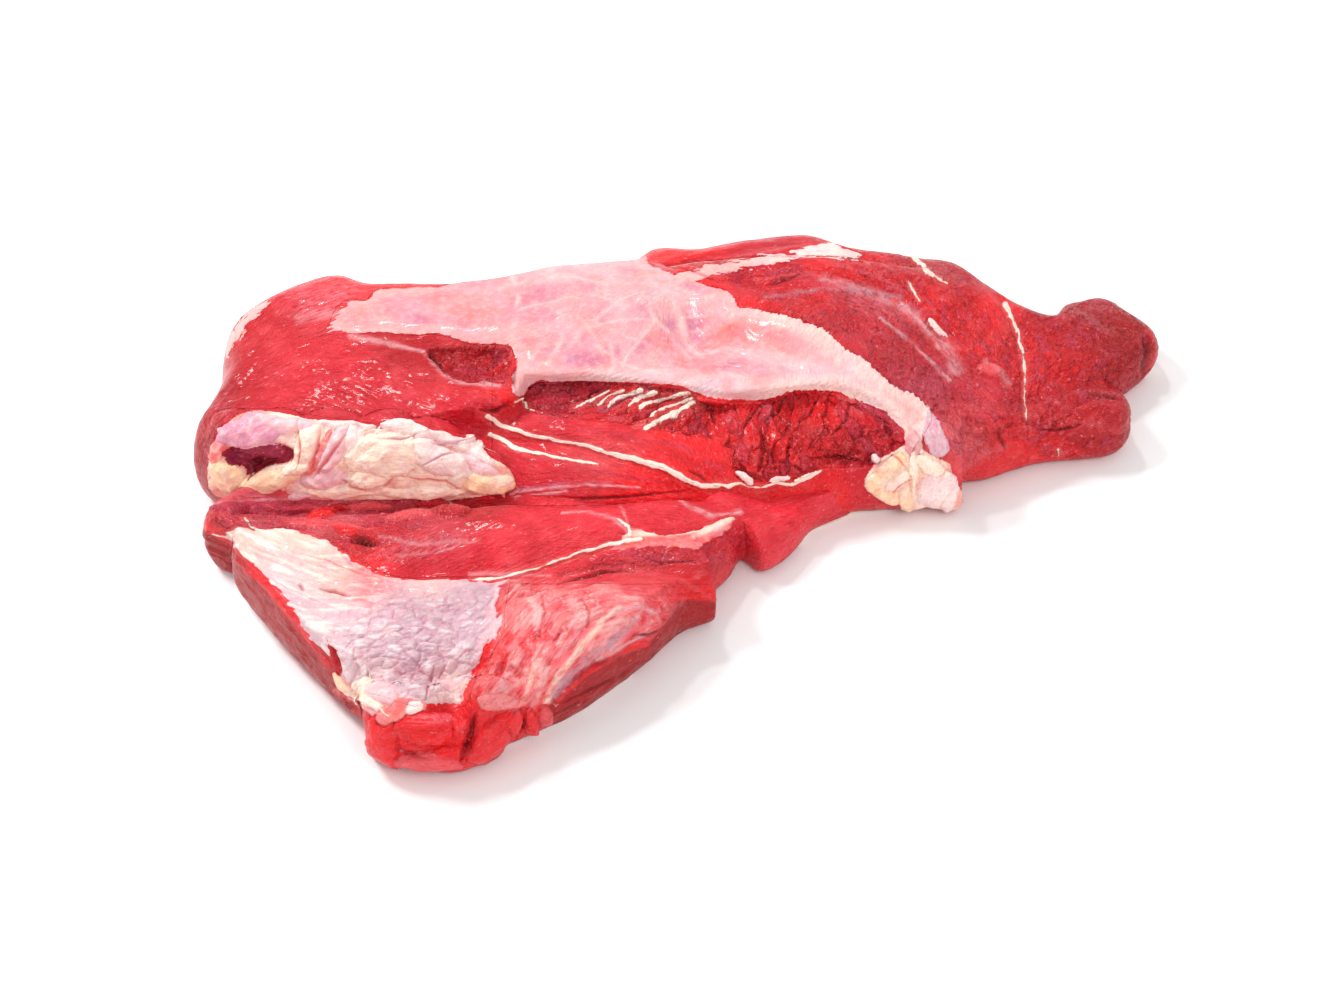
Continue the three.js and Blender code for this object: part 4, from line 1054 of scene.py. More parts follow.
def dress_body(s):
    """Relief and finish of the back body."""
    rough = turbulence(s.p, 9, 3, 5)
    comb = streaks(s.p, s.grain, 7, 0.9, 6)
    x, y = s.px.T
    granular = s.spots(GRANULAR_LEAN)
    s.tear(8 * granular - 2.4, 0.60, 41, size=3.4, drawn=1.6, lumps=1.2)
    s.relief += 0.9 * granular * turbulence(s.p, 13, 2, 43)
    s.tear(s.outline(OPEN_MEAT), 1.7, 31, size=6.4, drawn=2.8, lumps=1.6)
    s.tear(s.outline(POCKET), 1.7, 35, size=6.0, drawn=2.6)
    s.relief -= 1.2 * smoothstep(-1, 4, s.outline(POCKET))
    s.swellings(LEAN_LOBULES, 55, covering=False, base=0.2, wrinkle=0.35)
    s.bands(BODY_BANDS)
    combed = smoothstep(*SKIN_COMBED, x) * smoothstep(-0.15, 0.15, x * 0.5 - y + 20)
    frayed = smoothstep(*SKIN_FRAYED, x)
    fringe = comb * combed * (0.7 + 1.2 * turbulence(s.p, 6, 2, 29))
    skin = (np.minimum(s.outline(SKIN), -inside(s.q, SKIN_TEAR)) + 0.9 * rough + 1.7 * fringe
            + frayed * (3.0 * comb + 2.4 * rough - 1.2))
    web = np.zeros(len(s.p))
    for path, width in SKIN_WEB:
        k, side, _, _ = s.beside(path, 6.0)
        side = side + 1.8 * turbulence(s.p[k], 13, 2, 23)
        near = np.abs(side) + 0.5 * rough[k]
        web[k] = np.maximum(web[k], np.exp(-(near / (1.3 * width)) ** 2))
    tone = s.plain("skin") * (1 + 0.06 * turbulence(s.p, 16, 3, 27))[:, None]
    tone = towards(tone, "skin_low", smoothstep(14, 2, skin))
    patch = turbulence(s.p, 26, 3, 28)
    tone = towards(tone, "silver", s.spots(SKIN_GREY) + 0.5 * smoothstep(0.1, 0.7, patch))
    tone = towards(tone, "skin_violet", 0.45 * smoothstep(-0.15, -0.7, patch))
    tone = towards(tone, "skin_warm", 0.4 * smoothstep(0.1, 0.6, turbulence(s.p, 15, 3, 26)))
    tone = towards(tone, "skin_warm", s.spots(SKIN_WARM) * (0.7 + 0.5 * rough) * (1 - 0.6 * web))
    tone = towards(tone, "skin_violet", s.spots(SKIN_CELLS) * (0.9 + 0.9 * rough) * (1 - web))
    tone = towards(tone, "web", 0.42 * web * (0.7 + 1.2 * rough))
    tone = towards(tone, "fat_light", (0.5 + 0.3 * comb) * combed * smoothstep(14, 0, skin))
    height = 0.2 + 0.6 * smoothstep(0, 6, skin) + 0.25 * turbulence(s.p, 12, 2, 25)
    s.lay(skin, tone, height + 0.10 * web + 0.06 * comb, 0.5)
    strips = np.maximum(s.outline(LEFT_EDGE_STRIP), s.outline(BACK_WHITE)) + 1.6 * rough + 2.6 * comb
    s.lay(strips, towards(s.plain("fat_white"), "skin_warm",
                          0.5 * smoothstep(*STRIP_WARMS, x)), 0.5 + 0.2 * comb)
    sheet = s.outline(VIOLET_SHEET) + 0.6 * rough + 0.8 * comb
    s.lay(sheet, towards(s.plain("silver"), "fat_violet", 0.3 + 1.2 * comb),
          1.0 + 0.3 * comb)
    mass = np.minimum(s.outline(LEFT_FAT_MASS), -inside(s.q, RED_POCKET))
    mass = np.maximum(mass, s.outline(RIGHT_FAT_MASS)) + 0.8 * rough
    cream = towards(s.plain("fat"), "fat_red", 0.25 + 0.8 * rough)
    s.lay(mass, cream, 1.8 + 0.5 * turbulence(s.p, 4, 3, 27) + 0.4 * comb)
    pocket = smoothstep(-0.5, 2.0, s.outline(RED_POCKET))
    s.lean = towards(s.lean, "purple", 0.75 * pocket)
    s.swellings(LEFT_FAT_LOBULES, 61, base=1.0, rise_share=0.75, wrinkle=1.0)
    s.swellings(RIGHT_FAT_LOBULES, 66, base=0.6, rise_share=0.85, wrinkle=0.9)
    s.relief -= 1.6 * pocket
    s.cover = np.where(pocket > 0.6, np.minimum(s.cover, -1.0), s.cover)
    s.cords(BODY_CORDS)
    s.creases(BODY_CREASES)
    for path, half, rise in SKIN_FOLDS:
        k, side, _, beyond = s.beside(path, 5.0)
        s.relief[k] += rise * s.facing[k] * np.exp(-(np.hypot(side, beyond) / (1.6 * half)) ** 2)
    s.film = s.spots(BODY_FILM)


def dress_flap(s):
    """Relief and finish of the flap."""
    rough = turbulence(s.p, 9, 3, 105)
    x, y = s.px.T
    s.tear(s.outline(RAGGED_STRIP), 0.7, 131, size=2.8, drawn=3.4, lumps=0.8)
    s.tear(8 * s.spots(GRANULAR_FLAP) - 2.4, 0.35, 141, size=2.2, drawn=1.8, lumps=0.7)
    fascia = smoothstep(-3.0, 4.0, s.outline(FASCIA))
    pleats = 1 - 2.4 * np.abs(streaks(s.p, s.grain, 22, 3.6, 151))
    fibres = streaks(s.p, s.grain, 16, 1.6, 155)
    s.relief += (0.7 * pleats + 0.4 * fibres + 0.8 * rough) * fascia
    share = fascia * smoothstep(-0.5, 0.6, 0.6 * pleats + 1.2 * rough + fibres)
    s.lean = towards(s.lean, "fascia", 0.75 * share)
    s.lean = towards(s.lean, "web", 0.55 * fascia * smoothstep(0.2, 0.9, fibres + 0.9 * rough))
    # The cut walls are painted darker red: painted shade where they turn away from the light.
    walls = smoothstep(-1, 2, np.maximum(s.outline(CUT_WALL_LEFT), s.outline(CUT_WALL_RIGHT)))
    s.lean = towards(s.lean, "shade_red", 0.95 * walls)
    s.relief += (0.4 * pleats + 0.3 * fibres) * walls
    silver = (np.minimum(s.outline(SILVERSKIN), -inside(s.q, SILVER_TEAR)) + 0.7 * rough + 1.6 * fibres
              + (6.0 * rough + 3.5 * pleats - 2.0) * smoothstep(*SILVER_RAGGED, x))
    k = np.flatnonzero(silver > -2)
    height = np.zeros(len(s.p))
    p = s.p[k]
    bent = p + 2.4 * turbulence(p, 14, 2, 161)[:, None]
    gap, _, tilt = flakes(bent * [0.8, 1.15, 0.6], 5.6, 171, 0.85)
    small_gap, _, small_tilt = flakes(bent * [0.7, 1.3, 0.8], 2.8, 173, 0.9)
    wrinkled = np.clip(np.exp(-s.ellipse(k, *SILVER_WRINKLES) ** 4) + 0.08, 0, 1)
    comes = smoothstep(-0.7, 0.2, turbulence(p, 11, 2, 177))
    pillow, small_pillow = smoothstep(0.0, 0.40, gap), smoothstep(0.0, 0.35, small_gap)
    fold = np.exp(-(gap / 0.07) ** 2) * comes
    quilt = 0.6 * tilt + 0.8 * pillow * comes + 0.25 * small_pillow + 0.2 * small_tilt
    height[k] = (0.3 + wrinkled * quilt
                 + 0.25 * pleats[k] + 0.25 * fibres[k] + 0.2 * turbulence(p, 3, 2, 175))
    tone = toned(s.q, SILVER_TONES, SILVER_REACH) * (1 + 0.08 * turbulence(s.p, 9, 3, 191))[:, None]
    tone = towards(tone, "fat_light", 0.7 * smoothstep(0.0, 0.6, fibres) * smoothstep(*SILVER_LIGHTER, x))
    tone = towards(tone, "silver_violet", 0.5 * smoothstep(0.0, 0.8, -fibres))
    # Quilted facets tilted down are painted violet, painted shade, the folds between them partly so; the
    # tops of the pillows are painted lighter, a painted highlight.
    tone[k] = towards(tone[k], "silver_violet", 0.6 * smoothstep(0.2, -0.6, tilt) * wrinkled)
    tone[k] = towards(tone[k], "skin_violet", 0.5 * fold * wrinkled)
    lit = wrinkled * pillow * smoothstep(-0.1, 0.5, tilt + 0.5 * small_tilt)
    tone[k] = towards(tone[k], "silver_highlight", 0.8 * lit)
    tone = towards(tone, "fat_pearl", 0.8 * smoothstep(8, 1, silver) * smoothstep(*SILVER_FADES, x))
    s.lay(silver, tone, height)
    fat = s.outline(FAT_TRIANGLE) + 2.0 * rough
    warm = s.plain("skin_warm")
    warm = towards(warm, "rose", 0.3 + 1.2 * turbulence(s.p, 6, 2, 193) + 0.8 * smoothstep(1.5, -0.5, fat))
    warm = towards(warm, "fat", 1.1 * s.spots([(668, 532, 56, 4, 4, 0.9), (716, 526, 26, 4, 26, 0.9)]))
    s.lay(fat, warm, 0.6 + 0.4 * turbulence(s.p, 5, 3, 195), 2.0)
    s.bands(FLAP_BANDS, 711)
    bead_gap, bead, _ = flakes(s.p, 2.2, 197)
    beads = s.spots(BEADS) * smoothstep(0.25, 0.55, bead_gap) * (bead > 0.35)
    s.lean = towards(s.lean, "web", 0.85 * beads)
    s.relief += 0.35 * beads
    tip_fat = s.outline(TIP_FAT_MASS) + 0.8 * rough
    s.lay(tip_fat, towards(s.plain("fat_pearl"), "skin_warm", 0.4 + 0.9 * rough),
          1.2 + 0.4 * turbulence(s.p, 4, 2, 199))
    s.swellings(RAGGED_LOBULES, 261, covering=False, wrinkle=0.5)
    s.swellings(TIP_LOBULES, 266, covering=False, wrinkle=0.35)
    s.swellings(TIP_FAT, 271, base=0.7, rise_share=0.7, wrinkle=0.7)
    s.cords(FLAP_CORDS)
    s.creases(FLAP_CREASES)
    s.film = np.maximum(0.3 * fascia, s.spots(FLAP_FILM_AND_SHEEN))


def finish_hidden_sides(s):
    """What the photo can't show: lean meat with patches of silverskin and fat spread by noise."""
    p, seen = s.p, s.facing
    patches = 14 * turbulence(p, 62, 3, 301) - 3.5
    lean = s.plain("smooth") * (1 + 0.2 * turbulence(p, 30, 3, 311))[:, None]
    lean = towards(lean, "deep", 0.5 + 0.8 * turbulence(p, 44, 2, 321))
    pale = towards(s.plain("silver"), "fat", 0.5 + 1.4 * turbulence(p, 50, 2, 331))
    s.lean = lean + (s.lean - lean) * seen[:, None]
    s.over = pale + (s.over - pale) * seen[:, None]
    s.cover = patches + (s.cover - patches) * seen
    s.film = s.film * seen + 0.25 * (1 - seen)
    s.torn = s.torn * seen + 0.4 * (1 - seen)
    s.relief = s.relief * seen + 0.5 * turbulence(p, 12, 3, 401) * (1 - seen)
    s.relief *= smoothstep(0.2, 4.0, p[:, 2])


# The camera's lattice over a lobe

STEP = 0.9  # lattice spacing in photo pixels
LATTICE_LOW, LATTICE_HIGH = np.array([190.0, 225.0]), np.array([1175.0, 790.0])


def fill_lattice(grid, normal, step):
    """The lobe's surface under a lattice of photo pixels: triangles are filled by their corners'
    shares, and the place nearest the camera is kept."""
    columns, rows = (np.ceil((LATTICE_HIGH - LATTICE_LOW) / step)).astype(int)
    p, n = grid.reshape(-1, 3), normal.reshape(-1, 3)
    at = (pixels_of(photo_plane(p)) - LATTICE_LOW) / step
    depth = (p - EYE) @ FORWARD
    triangles = ring_triangles(np.arange(len(p)).reshape(grid.shape[:2]))
    corners = at[triangles]
    low = np.maximum(np.ceil(corners.min(1)), 0).astype(int)
    high = np.minimum(np.floor(corners.max(1)), [columns - 1, rows - 1]).astype(int)
    size = np.maximum(high - low + 1, 0)
    count = size[:, 0] * size[:, 1]
    t = np.repeat(np.arange(len(count)), count)
    k = np.arange(len(t)) - np.repeat(np.cumsum(count) - count, count)
    spot = np.stack([low[t, 0] + k % size[t, 0], low[t, 1] + k // size[t, 0]], -1)
    a, b, c = (corners[t, m] for m in range(3))

    def doubled_area(u, v, w):
        """Twice a triangle's signed area: the cross product of two of its sides."""
        return (v[:, 0] - u[:, 0]) * (w[:, 1] - u[:, 1]) - (v[:, 1] - u[:, 1]) * (w[:, 0] - u[:, 0])

    area = doubled_area(a, b, c)
    area = np.where(np.abs(area) < 1e-12, 1e-12, area)
    shares = np.stack([doubled_area(spot, b, c), doubled_area(a, spot, c), doubled_area(a, b, spot)], -1)
    shares /= area[:, None]
    kept = np.flatnonzero((shares >= -1e-7).all(1))
    t, shares = triangles[t[kept]], shares[kept]
    cell = spot[kept, 1] * columns + spot[kept, 0]
    near = (shares * depth[t]).sum(1)
    order = np.lexsort((near, cell))
    _, first = np.unique(cell[order], return_index=True)
    winners = order[first]
    points = (shares[winners, :, None] * p[t[winners]]).sum(1)
    normals = (shares[winners, :, None] * n[t[winners]]).sum(1)
    normals /= np.linalg.norm(normals, axis=1, keepdims=True)
    return (rows, columns), cell[winners], points, normals


def ring_triangles(index):
    """Two triangles for each quad of a ring grid that closes round its columns, facing out."""
    a, b = index[:-1], np.roll(index, -1, 1)[:-1]
    c, d = np.roll(index, -1, 1)[1:], index[1:]
    return np.concatenate([np.stack([a, b, c], -1).reshape(-1, 3), np.stack([a, c, d], -1).reshape(-1, 3)])


def eroded(mask):
    """A boolean grid with its rim taken off."""
    grown = np.pad(mask, 1)
    return (mask & grown[:-2, 1:-1] & grown[2:, 1:-1] & grown[1:-1, :-2] & grown[1:-1, 2:])


# Meshes

ATTRIBUTE_KINDS = {1: ("FLOAT", "value"), 2: ("FLOAT_VECTOR", "vector"), 3: ("FLOAT_COLOR", "color")}


def make_piece(name, points, triangles, finish, material):
    """A mesh object at the origin from points in millimetres, with its finish as point attributes."""
    mesh = bpy.data.meshes.new(name)
    mesh.vertices.add(len(points))
    mesh.vertices.foreach_set("co", (points / METRES_TO_MM).astype(np.float32).ravel())
    mesh.loops.add(triangles.size)
    mesh.loops.foreach_set("vertex_index", triangles.astype(np.int32).ravel())
    mesh.polygons.add(len(triangles))
    mesh.polygons.foreach_set("loop_start", np.arange(0, triangles.size, 3, dtype=np.int32))
    mesh.polygons.foreach_set("use_smooth", np.ones(len(triangles), bool))
    mesh.update(calc_edges=True)
    for key, values in finish.items():
        width = 1 if values.ndim == 1 else values.shape[1]
        kind, field = ATTRIBUTE_KINDS[width]
        if width == 2:
            values = np.concatenate([values, np.zeros((len(values), 1))], 1)
        if width == 3:
            values = np.concatenate([np.clip(values, 0, 1), np.ones((len(values), 1))], 1)
        layer = mesh.attributes.new(key, kind, "POINT")
        layer.data.foreach_set(field, values.astype(np.float32).ravel())
    mesh.materials.append(material)
    piece = bpy.data.objects.new(name, mesh)
    bpy.context.scene.collection.objects.link(piece)
    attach(piece, "root")
    return piece


def finish_of(s, k):
    """A surface's finish at some of its points."""
    return {"lean": s.lean[k], "over": s.over[k], "cover": s.cover[k], "seam": s.seam[k],
            "grain": s.grain[k], "film": s.film[k], "torn": s.torn[k]}


def make_under_lobe(name, grid, normal, twin, s, sunk, material):
    """The whole closed lobe, pushed along its normals by its relief and sunk under the fine pieces."""
    first = np.array([np.flatnonzero(twin == t)[0] for t in twin])
    index = np.arange(grid.shape[0] * grid.shape[1]).reshape(grid.shape[:2])
    index[0], index[-1] = index[0][first], index[-1][first]
    triangles = ring_triangles(index)
    flat = ((triangles[:, 0] == triangles[:, 1]) | (triangles[:, 1] == triangles[:, 2])
            | (triangles[:, 0] == triangles[:, 2]))
    used, triangles = np.unique(triangles[~flat], return_inverse=True)
    points = (grid.reshape(-1, 3) + normal.reshape(-1, 3) * (s.relief - sunk)[:, None])[used]
    points[:, 2] = np.maximum(points[:, 2], 0.0)
    return make_piece(name, points, triangles.reshape(-1, 3), finish_of(s, used), material)


BLOCK = 8  # lattice steps across one facet of a fine piece's hidden underside
SHELL = 3.0


def make_fine_piece(name, index, quads, points, normal, s, material):
    """A closed shell from lattice quads. Its underside is the same grid drawn together into blocks,
    a shell's thickness below, and joined to the rim. Where two quads touch only at a corner, the lower
    one gets its own copy of it."""
    r, c = np.nonzero(quads)
    grown = np.pad(quads, ((1, 1), (1, 1)))
    above_left, above_right = grown[:-1, :-1], grown[:-1, 1:]
    below_left, below_right = grown[1:, :-1], grown[1:, 1:]
    touching = ((above_left & below_right & ~above_right & ~below_left)
                | (above_right & below_left & ~above_left & ~below_right))
    inner = above_left & above_right & below_left & below_right
    copy = touching * index.size
    flat = np.arange(index.size).reshape(index.shape)
    corners = np.stack([flat[r, c] + copy[r, c], flat[r + 1, c], flat[r + 1, c + 1],
                        flat[r, c + 1] + copy[r, c + 1]], -1)
    rows, columns = np.indices(index.shape)
    block = (rows // BLOCK * index.shape[1] + columns // BLOCK + 2 * index.size).ravel()
    below = np.where(inner.ravel()[corners % index.size], block[corners % index.size], corners)
    used, corners = np.unique(corners, return_inverse=True)
    corners = corners.reshape(-1, 4)
    place = index.ravel()[used % index.size]
    lower, first, below = np.unique(below, return_index=True, return_inverse=True)
    below = below.reshape(-1, 4)
    is_block = lower >= 2 * index.size
    source = corners.ravel()[first]
    vertex = np.where(is_block, len(used) + np.cumsum(is_block) - 1, source)
    below = vertex[below]
    depth = points[place] - normal[place] * SHELL
    flip = below[:, ::-1]
    under = np.concatenate([flip[:, [0, 1, 2]], flip[:, [0, 2, 3]]])
    same = (under[:, 0] == under[:, 1]) | (under[:, 1] == under[:, 2]) | (under[:, 0] == under[:, 2])
    under = under[~same]
    triangles = np.concatenate([corners[:, [3, 0, 1]], corners[:, [3, 1, 2]], under])
    place = np.concatenate([place, place[source[is_block]]])
    joined = np.concatenate([points[place[:len(used)]], depth[source[is_block]]])
    piece = make_piece(name, joined, triangles, finish_of(s, place), material)
    smooth = np.arange(len(triangles)) < 2 * len(corners)
    piece.data.polygons.foreach_set("use_smooth", smooth)
    return piece


SINK = 1.3
SEEN = 0.95  # a fine piece takes points that face the camera at least this much
LONGEST_SPAN = 7.0  # lattice steps across a quad; a longer one bridges two forms
WIDEST_GAP = 6.0  # millimetres between a fine piece and the lobe under it
MARGIN = 6  # lattice steps between a fine piece's rim and where the lobe under it starts to sink
LIFT = 0.06


def make_lobe(edges, spine, fans, top, rows, grain, tones, dress, seed, under_name, regions, material):
    """A lobe: its whole closed form, and over what the camera sees fine pieces on the photo's lattice."""
    step = STEP * 1.0
    grid, twin = lobe(*edges, spine, fans, top, rows)
    normal = grid_normals(grid)
    shape, cell, p, n = fill_lattice(grid, normal, step)
    fine = Surface(p, n, grain, tones, seed)
    dress(fine)
    finish_hidden_sides(fine)
    points = p + n * (fine.relief + LIFT)[:, None]
    index = np.full(shape[0] * shape[1], -1)
    index[cell] = np.where(fine.facing > SEEN, np.arange(len(cell)), -1)
    index = index.reshape(shape)
    known = index >= 0
    quads = known[:-1, :-1] & known[1:, :-1] & known[:-1, 1:] & known[1:, 1:]
    corner = points[index]
    spans = [np.linalg.norm(corner[:-1, :-1] - corner[1:, 1:], axis=-1),
             np.linalg.norm(corner[1:, :-1] - corner[:-1, 1:], axis=-1)]
    quads &= np.maximum(*spans) < LONGEST_SPAN * step
    label = np.full(shape, -1)
    label.ravel()[cell] = regions(fine)[1]
    for number, name in enumerate(regions(fine)[0]):
        chosen = quads & (label[:-1, :-1] == number)
        if chosen.any():
            make_fine_piece(name, index, chosen, points, n, fine, material)

    deep = quads.copy()
    inward = np.zeros(quads.shape)
    for _ in range(MARGIN * 2):
        deep = eroded(deep)
        inward += deep
    under = Surface(grid.reshape(-1, 3), normal.reshape(-1, 3), grain, tones, seed)
    dress(under)
    finish_hidden_sides(under)
    at = np.round((under.px - LATTICE_LOW) / step).astype(int)
    within = ((at >= 0) & (at < [shape[1] - 1, shape[0] - 1])).all(1)
    at = np.where(within[:, None], at, 0)
    over = points[index[at[:, 1], at[:, 0]]]
    gap = np.linalg.norm(over - under.p, axis=1)
    sunk = within * (gap < WIDEST_GAP) * smoothstep(MARGIN, MARGIN * 2, inward[at[:, 1], at[:, 0]]) * SINK
    return make_under_lobe(under_name, grid, normal, twin, under, sunk, material)


# Materials

class Finish:
    """Builds one material's nodes."""

    def __init__(self, name):
        """A new material with its Principled shader."""
        self.material = bpy.data.materials.new(name)
        self.material.use_nodes = True
        self.tree = self.material.node_tree
        self.shader = self.tree.nodes["Principled BSDF"]

    def node(self, kind, inputs=None, **settings):
        """A node with its settings, its inputs linked or set."""
        made = self.tree.nodes.new(kind)
        for key, value in settings.items():
            setattr(made, key, value)
        for key, value in (inputs or {}).items():
            self.put(made.inputs[key], value)
        return made

    def put(self, socket, value):
        """Links a socket to an input, or sets the input's value."""
        if isinstance(value, bpy.types.NodeSocket):
            self.tree.links.new(value, socket)
        else:
            socket.default_value = value

    def attribute(self, name, output="Fac"):
        """A point attribute of the mesh."""
        return self.node("ShaderNodeAttribute", attribute_name=name).outputs[output]

    def math(self, operation, *values, clamp=False):
        """One arithmetic step on sockets or numbers."""
        made = self.node("ShaderNodeMath", operation=operation, use_clamp=clamp)
        for socket, value in zip(made.inputs, values):
            self.put(socket, value)
        return made.outputs[0]

    def times(self, first, second, clamp=False):
        """The first value times the second."""
        return self.math("MULTIPLY", first, second, clamp=clamp)

    def plus(self, first, second):
        """The first value plus the second."""
        return self.math("ADD", first, second)

    def minus(self, first, second):
        """The first value less the second."""
        return self.math("SUBTRACT", first, second)

    def rise(self, value, low, high):
        """A smooth step from 0 at low to 1 at high."""
        made = self.node("ShaderNodeMapRange", {"Value": value, "From Min": low, "From Max": high},
                         interpolation_type="SMOOTHSTEP")
        return made.outputs["Result"]

    def mix(self, share, first, second, blend="MIX"):
        """Two colours mixed by a share."""
        made = self.node("ShaderNodeMix", data_type="RGBA", blend_type=blend)
        self.put(made.inputs[0], share)
        self.put(made.inputs[6], first)
        self.put(made.inputs[7], second)
        return made.outputs[2]

    def noise(self, vector, scale, detail=2.0, roughness=0.5, distortion=0.0):
        """Noise with scale cells to a millimetre."""
        made = self.node("ShaderNodeTexNoise", {"Vector": vector, "Scale": scale, "Detail": detail,
                                                "Roughness": roughness, "Distortion": distortion})
        return made.outputs["Fac"]


# The torn meat's dark and light colours are painted shade in its pits and a painted highlight on its
# grains; the fleck colour paints glints, partly marbling; the film colour also paints sheen on the flap.
FINISH_COLOURS = {
    "torn_pit_shade": (146, 8, 20), "torn_grain_highlight": (252, 84, 84), "glint_fleck": (250, 140, 150),
    "film": (238, 138, 152), "vein": (230, 110, 116), "cloud": (255, 236, 228),
    "strand": (230, 134, 138), "bruise": (214, 160, 184), "cord": (252, 226, 212)}
FIBRE_STRETCH = (6.0, 1.0, 1.2)  # how far the fibre noise is drawn out along and across the grain
BUMP_METRES = 0.0015
SPECULAR, SCATTER, SCATTER_METRES = 0.24, 0.05, 0.002
COAT, COAT_ROUGHNESS = 0.16, 0.12


def rgba(name):
    """One of the finish's colours as the shader takes it."""
    return (*[float(v) for v in linear(FINISH_COLOURS[name])], 1.0)


def meat_finish():
    """Lean meat with its grain, skin and fat over it where the cover attribute is above 0, and white
    cords where the seam attribute is."""
    f = Finish("raw_beef_finish")
    coordinates = f.node("ShaderNodeTexCoord").outputs["Object"]
    mm = f.node("ShaderNodeVectorMath", {0: coordinates, 1: (METRES_TO_MM,) * 3},
                operation="MULTIPLY").outputs[0]
    grain = f.attribute("grain", "Vector")
    total, weights = None, None
    for turn in GRAIN_TURNS:
        heading = (float(np.cos(2 * turn)), float(np.sin(2 * turn)), 0.0)
        match = f.node("ShaderNodeVectorMath", {0: grain, 1: heading},
                       operation="DOT_PRODUCT").outputs["Value"]
        weight = f.math("POWER", f.math("MAXIMUM", match, 0.0), 3.0)
        local = f.node("ShaderNodeMapping", {"Vector": mm, "Rotation": (0.0, 0.0, float(turn)),
                                             "Scale": FIBRE_STRETCH}, vector_type="TEXTURE")
        value = f.times(f.noise(local.outputs[0], 0.95, 2.5, 0.6), weight)
        total = value if total is None else f.plus(total, value)
        weights = weight if weights is None else f.plus(weights, weight)
    streak = f.math("DIVIDE", total, f.math("MAXIMUM", weights, 0.001))

    soft = f.noise(mm, 0.12, 2.0)
    grit = f.noise(mm, 1.3, 3.0, 0.65)
    cloud = f.noise(mm, 0.30, 3.0, 0.6)
    dots = f.noise(mm, 0.62, 2.0, 0.6)
    torn = f.attribute("torn")

    lean = f.attribute("lean", "Color")
    shade = f.node("ShaderNodeValToRGB", {"Fac": streak})
    ramp = shade.color_ramp
    ramp.elements[0].position, ramp.elements[0].color = 0.32, (0.64, 0.40, 0.42, 1)
    ramp.elements[1].position, ramp.elements[1].color = 0.66, (1.0, 1.0, 1.0, 1)
    middle = ramp.elements.new(0.48)
    middle.color = (0.94, 0.84, 0.84, 1)
    lean = f.mix(f.minus(0.8, f.times(torn, 0.4)), lean, shade.outputs["Color"], "MULTIPLY")
    # Torn meat is painted darker in its pits, painted shade, and lighter on its grains, a painted
    # highlight; the bump lowers the one and raises the other.
    pit_shade = f.times(f.rise(grit, 0.50, 0.38), f.times(torn, 0.26))
    lean = f.mix(pit_shade, lean, rgba("torn_pit_shade"))
    grain_highlight = f.times(f.rise(dots, 0.53, 0.66), f.times(torn, 0.45))
    lean = f.mix(grain_highlight, lean, rgba("torn_grain_highlight"))
    # Short pale flecks along the grain: painted glints, partly marbling.
    glint_fleck = f.times(f.rise(streak, 0.54, 0.61), f.rise(dots, 0.50, 0.60))
    glint_fleck = f.times(glint_fleck, f.rise(cloud, 0.46, 0.60))
    lean = f.mix(f.times(glint_fleck, 0.60), lean, rgba("glint_fleck"))
    # Pale film, which on the flap also paints sheen and glints.
    wisps = f.rise(f.plus(f.times(streak, 0.6), f.times(cloud, 0.4)), 0.40, 0.60)
    film = f.times(f.attribute("film"), wisps, clamp=True)
    lean = f.mix(film, lean, rgba("film"))

    over = f.attribute("over", "Color")
    veins = f.math("ABSOLUTE", f.minus(f.noise(mm, 0.14, 3.0, 0.6, 0.6), 0.5))
    veins = f.rise(veins, 0.025, 0.0)
    over = f.mix(f.times(veins, 0.16), over, rgba("vein"))
    over = f.mix(f.times(f.rise(cloud, 0.44, 0.68), 0.16), over, rgba("cloud"))
    over = f.mix(f.times(f.rise(streak, 0.47, 0.36), 0.34), over, rgba("strand"))
    over = f.mix(f.times(f.rise(soft, 0.50, 0.36), 0.22), over, rgba("bruise"))

    ragged = f.plus(f.times(f.minus(streak, 0.5), 3.0), f.times(f.minus(cloud, 0.5), 2.0))
    cover = f.rise(f.plus(f.attribute("cover"), ragged), -0.20, 0.25)
    colour = f.mix(cover, lean, over)
    wander = f.times(f.minus(cloud, 0.45), 1.2)
    seam = f.rise(f.plus(f.attribute("seam"), wander), -0.15, 0.25)
    colour = f.mix(f.times(seam, 0.95), colour, rgba("cord"))

    pale = f.math("MAXIMUM", cover, seam)
    roughness = f.plus(f.times(grit, 0.24), f.times(pale, 0.24))
    roughness = f.plus(f.minus(roughness, f.times(torn, 0.08)), 0.22)
    fibre = f.times(streak, f.minus(1.2, f.times(torn, 0.7)))
    grainy = f.plus(f.times(grit, f.plus(0.35, f.times(torn, 0.55))), f.times(dots, torn))
    height = f.times(f.plus(fibre, grainy), f.minus(1.0, f.times(pale, 0.55)))
    height = f.plus(height, f.times(soft, 0.8))
    height = f.plus(height, f.times(pale, 0.3))
    bump = f.node("ShaderNodeBump", {"Height": height, "Strength": 1.0, "Distance": BUMP_METRES})

    f.put(f.shader.inputs["Base Color"], colour)
    f.put(f.shader.inputs["Roughness"], roughness)
    f.put(f.shader.inputs["Normal"], bump.outputs[0])
    f.shader.inputs["Specular IOR Level"].default_value = SPECULAR
    f.shader.inputs["Subsurface Weight"].default_value = SCATTER
    f.shader.inputs["Subsurface Radius"].default_value = (1.0, 0.3, 0.25)
    f.shader.inputs["Subsurface Scale"].default_value = SCATTER_METRES
    f.shader.inputs["Coat Weight"].default_value = COAT
    f.shader.inputs["Coat Roughness"].default_value = COAT_ROUGHNESS
    return f.material


# The slab

raw_beef = meat_finish()


